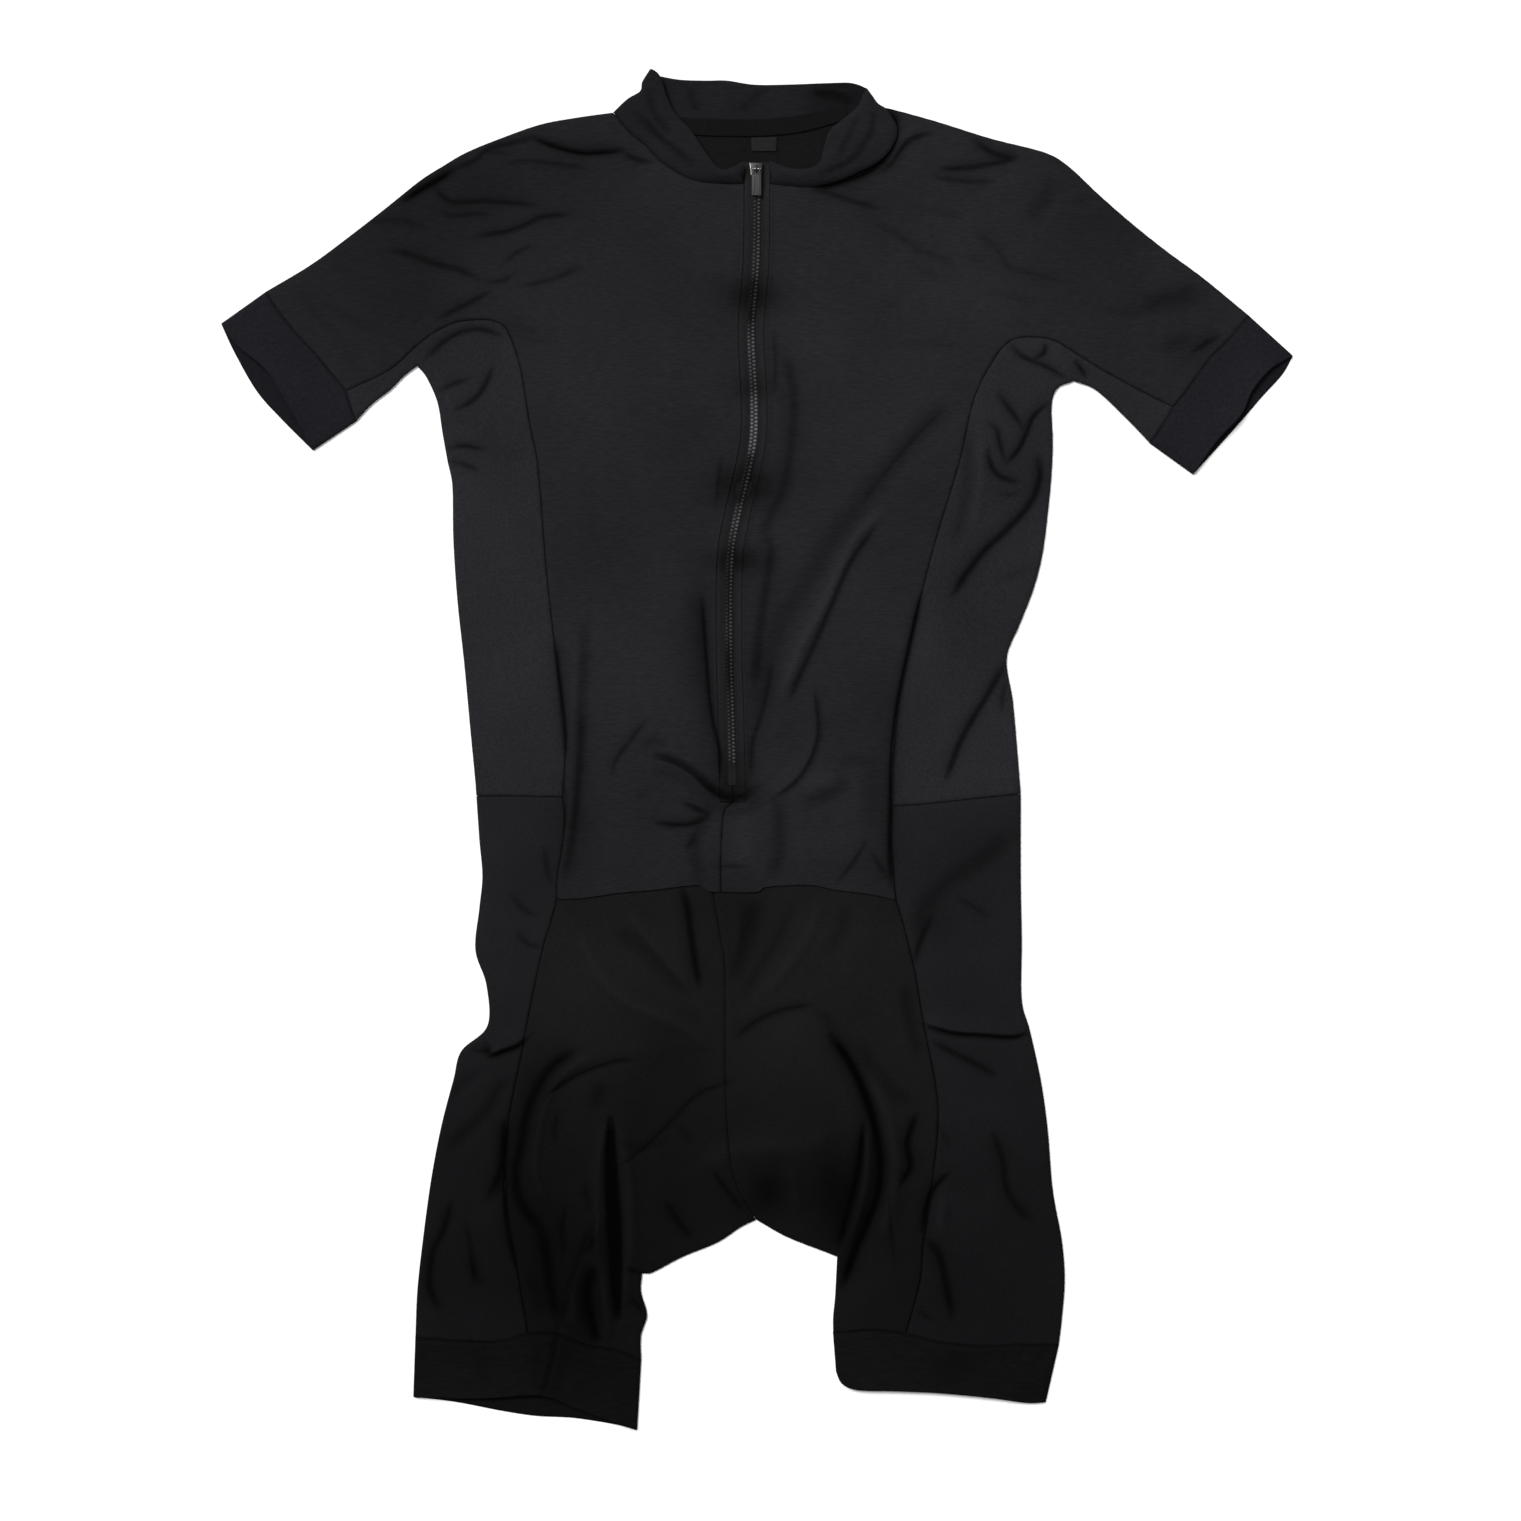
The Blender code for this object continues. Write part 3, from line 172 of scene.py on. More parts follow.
# Folds: place, form, half width mm, height mm, rows of x, y.
# Forms: v crease in a shallow trough, s soft trough, r ridge, g open groove,
# L or R a lip that stands high on the left or right of its line as the line runs.
FOLDS = [
    ("left shoulder", "v", 4.2, 4.8, [(400, 203), (420, 190), (437, 180), (457, 168)]),
    ("left shoulder", "v", 3.0, 2.0, [(452, 171), (477, 160), (487, 150), (513, 143), (537, 138)]),
    ("left shoulder", "v", 3.2, 4.2, [(530, 137), (560, 148), (583, 153), (610, 152), (626, 151)]),
    ("left shoulder", "v", 3.0, 2.2, [(620, 151), (637, 160), (656, 164)]),
    ("left shoulder", "v", 2.5, 1.0, [(482, 152), (498, 153), (515, 156)]),
    ("left shoulder", "v", 2.8, 2.0, [(434, 183), (443, 197), (457, 203), (483, 202), (517, 204),
                                      (540, 207)]),
    ("left shoulder", "v", 2.8, 1.5, [(437, 211), (453, 217), (473, 215), (497, 215)]),
    ("left shoulder", "v", 3.2, 2.2, [(475, 237), (503, 233), (523, 227), (543, 218), (574, 215)]),
    ("left shoulder", "v", 3.0, 1.4, [(504, 164), (530, 162), (557, 165), (590, 170)]),
    ("left sleeve", "v", 3.6, 2.0, [(388, 251), (410, 255), (437, 265), (457, 270), (482, 281)]),
    ("left sleeve", "v", 3.0, 1.4, [(480, 283), (503, 282), (518, 273)]),
    ("left sleeve", "v", 3.0, 1.3, [(501, 267), (518, 254), (536, 245)]),
    ("left sleeve", "v", 3.4, 1.2, [(367, 224), (397, 221), (431, 230)]),
    ("left sleeve", "s", 5.0, 1.0, [(318, 300), (352, 322), (384, 332)]),
    ("left sleeve", "s", 4.0, 0.8, [(300, 290), (330, 330), (360, 372)]),
    ("left sleeve", "v", 3.2, 2.0, [(435, 321), (457, 310), (473, 302), (495, 291)]),
    ("left sleeve", "v", 3.0, 1.4, [(520, 288), (543, 283), (560, 278), (586, 266)]),
    ("left chest", "s", 8.0, 1.0, [(500, 324), (522, 334), (545, 346)]),
    ("left underarm", "v", 2.8, 2.4, [(424, 361), (443, 343), (463, 332), (483, 330), (505, 338)]),
    ("left underarm", "v", 2.6, 2.0, [(437, 395), (447, 387), (474, 378)]),
    ("left underarm", "v", 2.8, 2.4, [(452, 412), (470, 403), (483, 390), (495, 365)]),
    ("left underarm", "v", 2.6, 2.4, [(447, 451), (457, 447), (470, 447), (488, 452)]),
    ("left underarm", "v", 2.6, 2.0, [(449, 461), (464, 465), (482, 473)]),
    ("left underarm", "s", 4.0, 0.8, [(443, 422), (477, 422)]),
    ("left seam", "v", 3.0, 2.4, [(556, 640), (561, 690), (565, 735), (566, 756)]),
    ("left seam", "v", 2.6, 1.2, [(562, 780), (566, 800), (565, 830)]),
    ("left waist", "r", 5.0, 1.8, [(577, 640), (576, 690), (573, 740), (571, 790), (568, 830)]),
    ("left waist", "s", 5.0, 1.4, [(587, 618), (586, 660), (584, 700), (582, 740)]),
    ("left waist", "v", 5.0, 1.8, [(584, 715), (582, 745), (579, 790), (574, 835), (565, 882)]),
    ("left of zip", "v", 2.6, 3.6, [(702, 598), (705, 640), (710, 702), (716, 735),
                                    (720, 754), (721, 778)]),
    ("left of zip", "s", 9.0, 1.4, [(698, 590), (701, 640), (706, 702), (714, 750)]),
    ("left of zip", "v", 3.0, 1.2, [(723, 455), (719, 486), (716, 514)]),
    ("zip dip", "s", 10.0, 2.0, [(726, 300), (750, 302), (778, 300)]),
    ("zip dip", "s", 9.0, 1.4, [(733, 390), (752, 390), (776, 390)]),
    ("zip dip", "s", 12.0, 3.2, [(716, 488), (744, 488), (774, 486)]),
    ("zip dip", "s", 8.0, 2.2, [(714, 562), (735, 562), (760, 560)]),
    ("pouch rim", "R", 5.0, 5.5, [(650, 757), (663, 760), (675, 764), (692, 774), (705, 785),
                                  (720, 796), (735, 801), (748, 798), (758, 792)]),
    ("pouch rim", "v", 2.6, 2.4, [(696, 778), (710, 790), (722, 797), (735, 800), (748, 797)]),
    ("right roll", "L", 5.0, 2.0, [(774, 797), (790, 786), (803, 772), (813, 752), (818, 728),
                                   (814, 690)]),
    ("pouch", "v", 3.0, 1.6, [(648, 719), (632, 740), (617, 760), (613, 778)]),
    ("pouch", "s", 5.0, 1.4, [(640, 750), (655, 744), (670, 748)]),
    ("pouch", "v", 3.0, 3.0, [(654, 823), (670, 825), (685, 825), (698, 822), (712, 815)]),
    ("pouch", "v", 3.2, 2.6, [(681, 803), (694, 808), (712, 817)]),
    ("pouch", "v", 3.2, 1.8, [(686, 850), (693, 842), (697, 832)]),
    ("pouch", "s", 4.0, 1.2, [(636, 796), (652, 796)]),
    ("pouch", "s", 5.0, 1.8, [(714, 806), (702, 826), (696, 850), (700, 872), (705, 892)]),
    ("pouch", "s", 6.0, 2.2, [(779, 796), (781, 820), (781, 852), (773, 884)]),
    ("pouch", "r", 12.0, 2.5, [(740, 806), (745, 840), (742, 880)]),
    ("pouch", "v", 2.4, 1.4, [(709, 868), (730, 867), (750, 868)]),
    ("pouch", "v", 3.0, 1.6, [(868, 838), (856, 860), (836, 886)]),
    ("pouch", "v", 3.0, 1.6, [(870, 850), (880, 866), (891, 882)]),
    ("pouch", "s", 6.0, 2.0, [(852, 780), (838, 792), (822, 800), (800, 806)]),
    ("pouch", "r", 8.0, 1.6, [(800, 778), (820, 782), (838, 776)]),
    ("pouch", "s", 5.0, 1.2, [(838, 765), (855, 762), (872, 766)]),
    ("right of zip", "v", 3.0, 1.2, [(775, 330), (776, 365), (775, 398)]),
    ("right of zip", "v", 6.2, 1.6, [(787, 356), (793, 385), (795, 410), (792, 447), (785, 487),
                                     (772, 515), (762, 538)]),
    ("right of zip", "v", 6.0, 1.8, [(768, 535), (772, 552), (768, 580), (765, 600), (758, 647),
                                     (754, 682)]),
    ("right of zip", "v", 3.0, 1.9, [(773, 660), (766, 697), (759, 725), (753, 744), (752, 778)]),
    ("right of zip", "v", 2.6, 1.2, [(762, 636), (759, 664), (755, 690)]),
    ("right diagonal", "s", 9.0, 2.0, [(947, 408), (917, 437), (883, 477), (860, 507), (833, 543),
                                       (800, 597), (780, 630), (767, 670), (760, 713)]),
    ("right diagonal", "v", 2.6, 1.0, [(947, 408), (917, 437), (883, 477), (860, 507)]),
    ("right diagonal", "r", 5.0, 2.6, [(880, 512), (857, 537), (840, 570), (825, 605), (803, 645),
                                       (785, 690)]),
    ("right diagonal", "v", 3.5, 2.0, [(876, 528), (852, 562), (835, 600), (819, 637), (799, 680),
                                       (790, 702)]),
    ("right chest", "s", 3.5, 0.6, [(880, 557), (900, 548), (920, 552)]),
    ("right chest", "s", 3.5, 0.6, [(887, 592), (913, 590)]),
    ("right chest", "s", 4.0, 0.7, [(878, 302), (907, 312)]),
    ("right chest", "s", 4.0, 0.5, [(857, 346), (915, 347), (977, 345)]),
    ("right seam", "v", 3.0, 3.2, [(921, 597), (908, 655), (898, 705), (893, 755), (891, 800),
                                   (890, 850), (892, 885)]),
    ("right waist", "s", 8.0, 1.0, [(873, 755), (872, 795), (873, 832)]),
    ("right shoulder", "v", 5.0, 4.4, [(885, 106), (895, 120), (893, 142), (885, 158), (867, 172),
                                       (840, 182), (812, 189)]),
    ("right shoulder", "v", 3.0, 2.2, [(936, 133), (914, 139), (901, 151), (891, 165), (876, 174)]),
    ("right shoulder", "r", 4.0, 1.6, [(925, 128), (905, 137), (896, 152), (886, 166)]),
    ("right shoulder", "v", 3.0, 1.8, [(815, 189), (840, 197), (863, 205), (884, 210)]),
    ("right shoulder", "v", 3.6, 0.9, [(876, 226), (900, 237), (917, 250), (937, 257), (960, 268)]),
    ("right shoulder", "v", 3.6, 0.9, [(975, 232), (997, 250), (1010, 268), (1033, 275),
                                       (1065, 284)]),
    ("right shoulder", "s", 4.0, 0.7, [(965, 261), (992, 261)]),
    ("right shoulder", "v", 4.4, 2.6, [(972, 138), (990, 151), (1006, 157), (1022, 158)]),
    ("right shoulder", "s", 3.0, 0.8, [(908, 205), (940, 214), (968, 220)]),
    ("right shoulder", "s", 3.0, 0.7, [(902, 258), (930, 276), (958, 290)]),
    ("right shoulder", "s", 3.0, 0.7, [(985, 292), (1018, 300), (1052, 306)]),
    ("right shoulder", "v", 3.4, 2.4, [(937, 170), (970, 168), (997, 163), (1019, 157)]),
    ("right shoulder", "v", 3.4, 1.6, [(931, 177), (963, 182), (999, 182)]),
    ("right sleeve", "s", 7.0, 1.8, [(1057, 178), (1047, 200), (1029, 225)]),
    ("right sleeve", "s", 4.0, 0.8, [(1092, 196), (1072, 208)]),
    ("right sleeve", "s", 7.0, 1.8, [(1140, 308), (1177, 300), (1204, 288)]),
    ("right sleeve", "s", 5.0, 1.2, [(1160, 352), (1180, 342), (1196, 338)]),
    ("right sleeve", "v", 3.2, 2.2, [(1191, 355), (1206, 344), (1222, 335)]),
    ("right sleeve", "s", 4.0, 0.9, [(1096, 310), (1130, 315), (1166, 312)]),
    ("right underarm", "v", 2.6, 2.6, [(1010, 344), (1023, 357), (1047, 367), (1069, 380)]),
    ("right underarm", "v", 2.4, 3.0, [(1046, 342), (1045, 352), (1035, 360)]),
    ("right underarm", "v", 2.4, 3.4, [(1074, 360), (1082, 370), (1087, 380)]),
    ("right underarm", "v", 3.0, 2.6, [(996, 391), (1007, 405), (1020, 423), (1026, 433)]),
    ("right underarm", "v", 2.8, 3.0, [(1051, 402), (1035, 415), (1028, 430), (1020, 448),
                                       (1006, 466)]),
    ("right underarm", "v", 2.6, 2.4, [(986, 422), (997, 430), (1001, 447), (1007, 465)]),
    ("right underarm", "v", 2.8, 2.8, [(989, 447), (990, 460), (994, 471), (1003, 478),
                                       (1022, 484)]),
    ("right underarm", "v", 2.2, 1.2, [(997, 493), (1010, 496), (1023, 492)]),
    ("right side", "v", 4.5, 3.0, [(1038, 455), (1040, 477), (1031, 503), (1007, 530), (983, 553),
                                   (962, 581), (953, 598)]),
    ("right side", "s", 5.0, 1.8, [(969, 430), (970, 470), (966, 505), (956, 545)]),
    ("right side", "r", 5.0, 1.6, [(979, 440), (980, 490), (972, 530)]),
    ("right side", "s", 4.0, 0.9, [(1032, 569), (1010, 578), (990, 580)]),
    ("right waist", "v", 4.0, 2.8, [(1007, 661), (987, 697), (967, 730), (956, 754), (946, 782)]),
    ("right waist", "v", 3.0, 1.8, [(1006, 680), (1003, 700), (1001, 716)]),
    ("left hip", "v", 3.0, 1.4, [(510, 893), (523, 910), (540, 918)]),
    ("left hip", "v", 3.0, 1.6, [(516, 931), (528, 945), (545, 949)]),
    ("left hip", "v", 3.5, 1.6, [(545, 845), (548, 870), (554, 888)]),
    ("left hip step", "L", 5.0, 4.5, [(488, 1040), (491, 1054), (503, 1050), (517, 1045),
                                      (529, 1036)]),
    ("left hip", "s", 5.0, 1.8, [(511, 1081), (500, 1090), (490, 1110), (467, 1133), (445, 1152)]),
    ("right hip", "s", 8.0, 2.2, [(1011, 838), (983, 862), (967, 873), (947, 887), (927, 910),
                                  (916, 938)]),
    ("right hip", "v", 3.0, 1.3, [(952, 896), (973, 907), (991, 921)]),
    ("right hip", "v", 3.4, 2.4, [(934, 914), (924, 934), (917, 955), (916, 966)]),
    ("right hip fold", "L", 4.5, 4.2, [(924, 1024), (953, 1032), (980, 1034), (1013, 1036),
                                       (1030, 1031)]),
    ("right hip", "v", 3.6, 2.2, [(931, 1041), (953, 1053), (973, 1063), (999, 1078)]),
    ("right hip", "v", 3.0, 1.0, [(937, 1123), (953, 1150)]),
    ("shorts", "s", 6.0, 2.0, [(616, 932), (633, 943), (653, 960), (673, 980), (695, 999)]),
    ("shorts", "r", 4.5, 1.8, [(582, 938), (600, 976), (625, 1001), (653, 1014), (687, 1030),
                               (705, 1044)]),
    ("shorts", "r", 4.0, 1.4, [(628, 912), (652, 944), (678, 976), (704, 1010), (716, 1032)]),
    ("shorts", "r", 4.5, 1.2, [(822, 902), (806, 940), (786, 970), (762, 996)]),
    ("shorts", "s", 5.0, 1.2, [(796, 900), (782, 936), (762, 968), (744, 1000)]),
    ("shorts", "v", 4.0, 3.2, [(682, 888), (688, 908), (690, 925), (695, 960), (701, 990)]),
    ("shorts", "s", 7.0, 2.0, [(757, 900), (748, 945), (734, 985)]),
    ("shorts", "r", 4.0, 1.2, [(733, 905), (738, 930), (735, 955)]),
    ("shorts", "s", 3.0, 0.6, [(677, 1051), (700, 1052), (720, 1051)]),
    ("shorts", "s", 6.0, 1.4, [(850, 902), (843, 932), (828, 958)]),
    ("left thigh", "r", 3.6, 1.8, [(588, 1058), (562, 1076), (546, 1104), (538, 1140), (536, 1174),
                                   (546, 1204)]),
    ("left thigh", "v", 6.0, 3.2, [(576, 1051), (553, 1067), (537, 1090), (527, 1117), (522, 1145),
                                   (516, 1172), (518, 1195), (530, 1217), (545, 1235)]),
    ("left thigh", "v", 3.0, 1.9, [(541, 1101), (560, 1087), (580, 1075), (600, 1067), (617, 1062),
                                   (637, 1061)]),
    ("left thigh", "s", 6.0, 2.2, [(604, 1083), (600, 1098), (596, 1113)]),
    ("pad edge", "v", 4.0, 1.9, [(735, 1039), (760, 1020), (787, 1010), (815, 1006)]),
    ("pad edge", "s", 4.0, 1.6, [(812, 1008), (828, 1022), (838, 1040)]),
    ("pad", "v", 2.6, 1.4, [(620, 1167), (647, 1147), (673, 1120), (700, 1093), (735, 1081)]),
    ("pad", "s", 4.0, 1.2, [(676, 1126), (694, 1148)]),
    ("right thigh", "s", 5.0, 1.8, [(860, 1044), (877, 1073), (900, 1097), (915, 1111)]),
    ("right thigh", "s", 5.0, 2.0, [(906, 985), (913, 1027), (924, 1062)]),
    ("right thigh", "v", 4.5, 3.0, [(918, 1111), (908, 1143), (911, 1167), (899, 1189)]),
    ("right groin", "v", 5.5, 8.0, [(832, 1037), (850, 1063), (863, 1090), (873, 1120),
                                    (879, 1150), (880, 1172), (877, 1196), (867, 1223),
                                    (855, 1250), (843, 1285)]),
    ("right groin", "r", 7.0, 3.2, [(872, 1085), (887, 1120), (894, 1160), (891, 1200),
                                    (880, 1240)]),
    ("right groin", "r", 4.5, 3.2, [(867, 1132), (867, 1170), (861, 1205), (848, 1245)]),
    ("right groin", "v", 3.8, 5.0, [(864, 1124), (861, 1147), (857, 1177), (848, 1212),
                                    (839, 1248)]),
    ("left leg", "g", 5.6, 7.0, [(611, 1118), (611, 1160), (613, 1200), (615, 1240), (616, 1275),
                                 (618, 1322)]),
    ("left leg", "r", 4.0, 2.0, [(607, 1122), (599, 1160), (597, 1210), (599, 1260), (606, 1304)]),
    ("left leg", "r", 5.5, 2.4, [(619, 1130), (627, 1165), (631, 1210), (630, 1260), (625, 1306)]),
    ("left leg", "v", 3.0, 1.6, [(567, 1205), (563, 1230), (565, 1262)]),
    ("left leg", "v", 2.6, 1.4, [(585, 1182), (588, 1200), (591, 1216)]),
    ("left leg", "v", 4.0, 2.4, [(594, 1233), (590, 1246), (583, 1259)]),
    ("left leg", "v", 5.4, 5.6, [(596, 1268), (588, 1290), (591, 1318), (598, 1346)]),
    ("left leg", "r", 5.0, 2.4, [(573, 1290), (575, 1312), (578, 1335)]),
    ("left leg", "r", 4.0, 2.4, [(605, 1285), (606, 1312), (609, 1342)]),
    ("left leg", "v", 6.0, 3.4, [(540, 1228), (547, 1253), (551, 1287), (558, 1322)]),
    ("left leg", "v", 4.0, 2.8, [(505, 1120), (504, 1150), (500, 1176), (490, 1196)]),
    ("left leg", "s", 5.0, 2.2, [(506, 1176), (498, 1192), (488, 1205)]),
    ("left leg", "v", 4.0, 2.6, [(452, 1201), (443, 1233), (433, 1253), (430, 1287), (441, 1312)]),
    ("left leg", "v", 3.0, 1.5, [(466, 1218), (472, 1253), (477, 1290)]),
    ("left leg seam", "v", 2.8, 2.2, [(506, 1118), (504, 1180), (508, 1230), (516, 1267)]),
    ("crotch", "v", 4.0, 2.4, [(666, 1201), (677, 1220), (695, 1243)]),
    ("crotch", "v", 3.0, 2.0, [(712, 1168), (727, 1190), (746, 1214)]),
    ("pad", "r", 9.0, 1.6, [(700, 1166), (738, 1150), (778, 1146), (812, 1144), (834, 1126)]),
    ("crotch", "s", 7.0, 1.2, [(764, 1176), (768, 1192), (774, 1210)]),
    ("crotch", "r", 5.0, 1.6, [(784, 1160), (794, 1182), (799, 1214)]),
    ("left leg", "v", 2.6, 2.2, [(626, 1268), (641, 1274)]),
    ("left leg", "v", 2.8, 2.0, [(631, 1298), (647, 1318)]),
    ("right leg", "v", 2.2, 1.0, [(889, 1195), (892, 1230), (897, 1272)]),
    ("right leg", "v", 3.2, 3.6, [(951, 1172), (935, 1188), (927, 1207), (923, 1236)]),
    ("right leg", "r", 4.5, 2.0, [(946, 1195), (941, 1218), (944, 1240)]),
    ("right leg", "v", 4.5, 2.6, [(925, 1238), (940, 1257), (947, 1287), (954, 1322)]),
    ("right leg", "v", 2.6, 1.2, [(915, 1309), (937, 1324)]),
    ("right leg", "v", 4.0, 2.0, [(992, 1130), (1003, 1160), (1007, 1187), (1017, 1207),
                                  (1035, 1224)]),
    ("left gripper", "L", 4.0, 2.8, [(560, 1326), (552, 1367), (541, 1400)]),
    ("left leg", "L", 5.0, 1.6, [(600, 1212), (586, 1250), (571, 1290), (560, 1330)]),
    ("left leg", "v", 3.0, 1.6, [(470, 1252), (476, 1276), (488, 1290)]),
    ("left leg", "s", 5.0, 1.4, [(530, 1272), (540, 1300), (546, 1324)]),
    ("left thigh", "v", 3.0, 1.4, [(560, 1110), (556, 1128), (558, 1146)]),
    ("left thigh", "s", 4.0, 1.0, [(608, 1138), (640, 1150), (672, 1140)]),
    ("left hip", "s", 5.0, 1.4, [(486, 1070), (462, 1084), (448, 1104)]),
    ("left hip", "v", 3.0, 1.6, [(470, 1050), (484, 1052), (494, 1046)]),
    ("left gripper", "s", 7.0, 0.9, [(485, 1346), (484, 1394)]),
    ("left gripper", "s", 5.0, 0.9, [(541, 1342), (536, 1390)]),
    ("right gripper", "s", 16.0, 1.0, [(962, 1350), (960, 1390)]),
    ("right gripper", "s", 3.0, 0.9, [(1006, 1350), (1005, 1364)]),
    ("right gripper", "s", 3.0, 0.9, [(1022, 1350), (1021, 1361)]),
    ("right gripper", "s", 3.0, 0.8, [(988, 1350), (988, 1363)]),
    ("right gripper", "s", 3.0, 0.7, [(1040, 1350), (1041, 1362)]),
]


# The same for the back and the seat, seen from below: troughs that rise off the floor.
UNDER_FOLDS = [
    ("shoulders", "s", 9.0, 0.9, [(640, 240), (720, 262), (810, 250)]),
    ("left shoulder", "v", 4.5, 1.2, [(430, 200), (480, 214), (548, 208)]),
    ("left shoulder", "s", 6.0, 0.9, [(392, 250), (440, 268), (500, 288)]),
    ("right shoulder", "v", 4.5, 1.2, [(930, 170), (985, 178), (1040, 196)]),
    ("right sleeve", "s", 6.0, 1.0, [(1060, 250), (1110, 276), (1160, 300)]),
    ("left underarm", "v", 4.0, 1.1, [(446, 400), (480, 420), (520, 428)]),
    ("left underarm", "v", 4.0, 1.0, [(452, 470), (490, 476), (530, 466)]),
    ("right underarm", "v", 4.0, 1.2, [(1046, 420), (1006, 440), (972, 470)]),
    ("right side", "v", 4.0, 1.0, [(1038, 500), (1000, 528), (966, 570)]),
    ("middle back", "s", 10.0, 1.0, [(700, 420), (694, 520), (706, 620)]),
    ("middle back", "s", 8.0, 0.9, [(800, 470), (812, 560), (800, 660)]),
    ("left waist", "v", 5.0, 1.3, [(560, 640), (572, 720), (566, 800)]),
    ("right waist", "v", 5.0, 1.2, [(905, 610), (893, 700), (896, 790)]),
    ("waist", "v", 5.0, 1.2, [(600, 840), (680, 826), (760, 832)]),
    ("waist", "s", 7.0, 1.0, [(800, 842), (860, 828), (930, 836)]),
    ("left seat", "v", 5.0, 1.2, [(560, 930), (600, 980), (660, 1010)]),
    ("right seat", "v", 5.0, 1.1, [(930, 930), (890, 985), (830, 1015)]),
    ("left seat", "v", 4.0, 1.0, [(520, 1060), (548, 1096), (588, 1110)]),
    ("right seat", "v", 4.0, 1.0, [(960, 1050), (930, 1092), (896, 1104)]),
    ("left leg", "v", 6.0, 1.3, [(600, 1120), (612, 1200), (608, 1290)]),
    ("right leg", "v", 6.0, 1.3, [(884, 1110), (878, 1190), (886, 1280)]),
    ("left leg", "s", 6.0, 1.0, [(480, 1120), (470, 1200), (476, 1290)]),
    ("right leg", "s", 6.0, 1.0, [(990, 1110), (1002, 1200), (996, 1290)]),
]

# Broad, soft painted shade of cloth that leans away from the light, and painted light
# where the depth is below zero: place, x, y, half width, half height, depth.
PAINTED_SHADING_PATCHES = [
    ("left shoulder", 450, 190, 130, 75, 0.30),
    ("left sleeve", 390, 290, 80, 70, 0.24),
    ("right sleeve top", 1110, 235, 70, 60, 0.10),
    ("left shoulder", 520, 195, 100, 46, 0.12),
    ("right chest", 850, 400, 90, 170, -0.13),
    ("right sleeve", 1120, 260, 90, 60, -0.12),
    ("zip dip", 754, 294, 30, 20, 0.55),
    ("zip dip", 752, 388, 28, 15, 0.22),
    ("zip dip", 748, 486, 38, 24, 0.58),
    ("zip dip", 738, 561, 32, 15, 0.50),
    ("zip end", 732, 776, 26, 30, 0.45),
    ("zip end", 735, 791, 24, 11, 0.52),
    ("right cuff", 1186, 346, 30, 18, 0.20),
    ("right sleeve", 1176, 298, 34, 14, 0.22),
    ("left of zip", 695, 640, 18, 90, 0.16),
    ("lower front", 725, 856, 190, 60, 0.14),
    ("left waist", 575, 780, 16, 110, 0.22),
    ("right waist", 882, 780, 20, 120, 0.20),
    ("right side", 1015, 480, 30, 50, 0.24),
    ("right side", 965, 620, 30, 120, 0.10),
    ("right hip", 965, 870, 70, 80, 0.34),
    ("right hip", 975, 980, 60, 70, 0.10),
    ("left hip", 520, 900, 50, 60, 0.12),
    ("shorts top", 700, 905, 130, 30, 0.12),
    ("shorts top", 735, 950, 26, 60, 0.16),
    ("left leg", 570, 1275, 80, 90, 0.46),
    ("left hip foot", 450, 1250, 60, 110, 0.14),
    ("right hip foot", 1000, 1290, 60, 60, 0.10),
    ("left thigh", 540, 1130, 40, 90, 0.20),
    ("pad", 690, 1060, 60, 50, 0.26),
    ("pad", 640, 1120, 60, 60, 0.20),
    ("pad side", 834, 1194, 24, 50, 0.62),
    ("pad low", 770, 1190, 24, 28, 0.42),
    ("right hip", 938, 922, 20, 24, 0.26),
    ("shorts top", 748, 918, 18, 26, 0.18),
    ("right pad", 800, 1125, 40, 34, -0.22),
    ("crotch", 680, 1225, 50, 30, 0.10),
]


# ------------------------------------------------------------------ helpers
def to_mm(point):
    return np.array([(point[0] - CHART_CENTRE[0]) * UNIT, (CHART_CENTRE[1] - point[1]) * UNIT])


def smooth_curve(rows, step):
    p = np.array([to_mm(r) for r in rows])
    if len(p) > 2:
        q = np.vstack([2 * p[0] - p[1], p, 2 * p[-1] - p[-2]])
        t = np.linspace(0, 1, 17)[:, None]
        parts = []
        for i in range(1, len(q) - 2):
            a, b, c, d = q[i - 1], q[i], q[i + 1], q[i + 2]
            m1, m2 = (c - a) / 2, (d - b) / 2
            chord = np.linalg.norm(c - b)
            for m in (m1, m2):
                n = np.linalg.norm(m)
                if n > 1.3 * chord:
                    m *= 1.3 * chord / n
            h = (2 * t**3 - 3 * t**2 + 1) * b + (t**3 - 2 * t**2 + t) * m1 \
                + (-2 * t**3 + 3 * t**2) * c + (t**3 - t**2) * m2
            parts.append(h[:-1])
        p = np.vstack(parts + [p[-1:]])
    length = np.concatenate([[0], np.cumsum(np.linalg.norm(np.diff(p, axis=0), axis=1))])
    count = max(1, int(round(length[-1] / step)))
    s = np.linspace(0, length[-1], count + 1)
    return np.stack([np.interp(s, length, p[:, 0]), np.interp(s, length, p[:, 1])], axis=1)


def curve(name, step=None):
    first, rows, last = CURVE[name]
    return smooth_curve([JUNCTION[first]] + list(rows) + [JUNCTION[last]], step or STEP)


def chain(*names):
    out = []
    for name in names:
        if isinstance(name, np.ndarray):
            c = name
        elif name.startswith("-"):
            c = curve(name[1:])[::-1]
        else:
            c = curve(name)
        for p in c:
            if not out or np.linalg.norm(out[-1] - p) > 0.3:
                out.append(p)
    if np.linalg.norm(out[0] - out[-1]) < 0.3:
        out.pop()
    return np.array(out)


def area_of(loop):
    x, y = loop[:, 0], loop[:, 1]
    return 0.5 * float(np.sum(x * np.roll(y, -1) - np.roll(x, -1) * y))


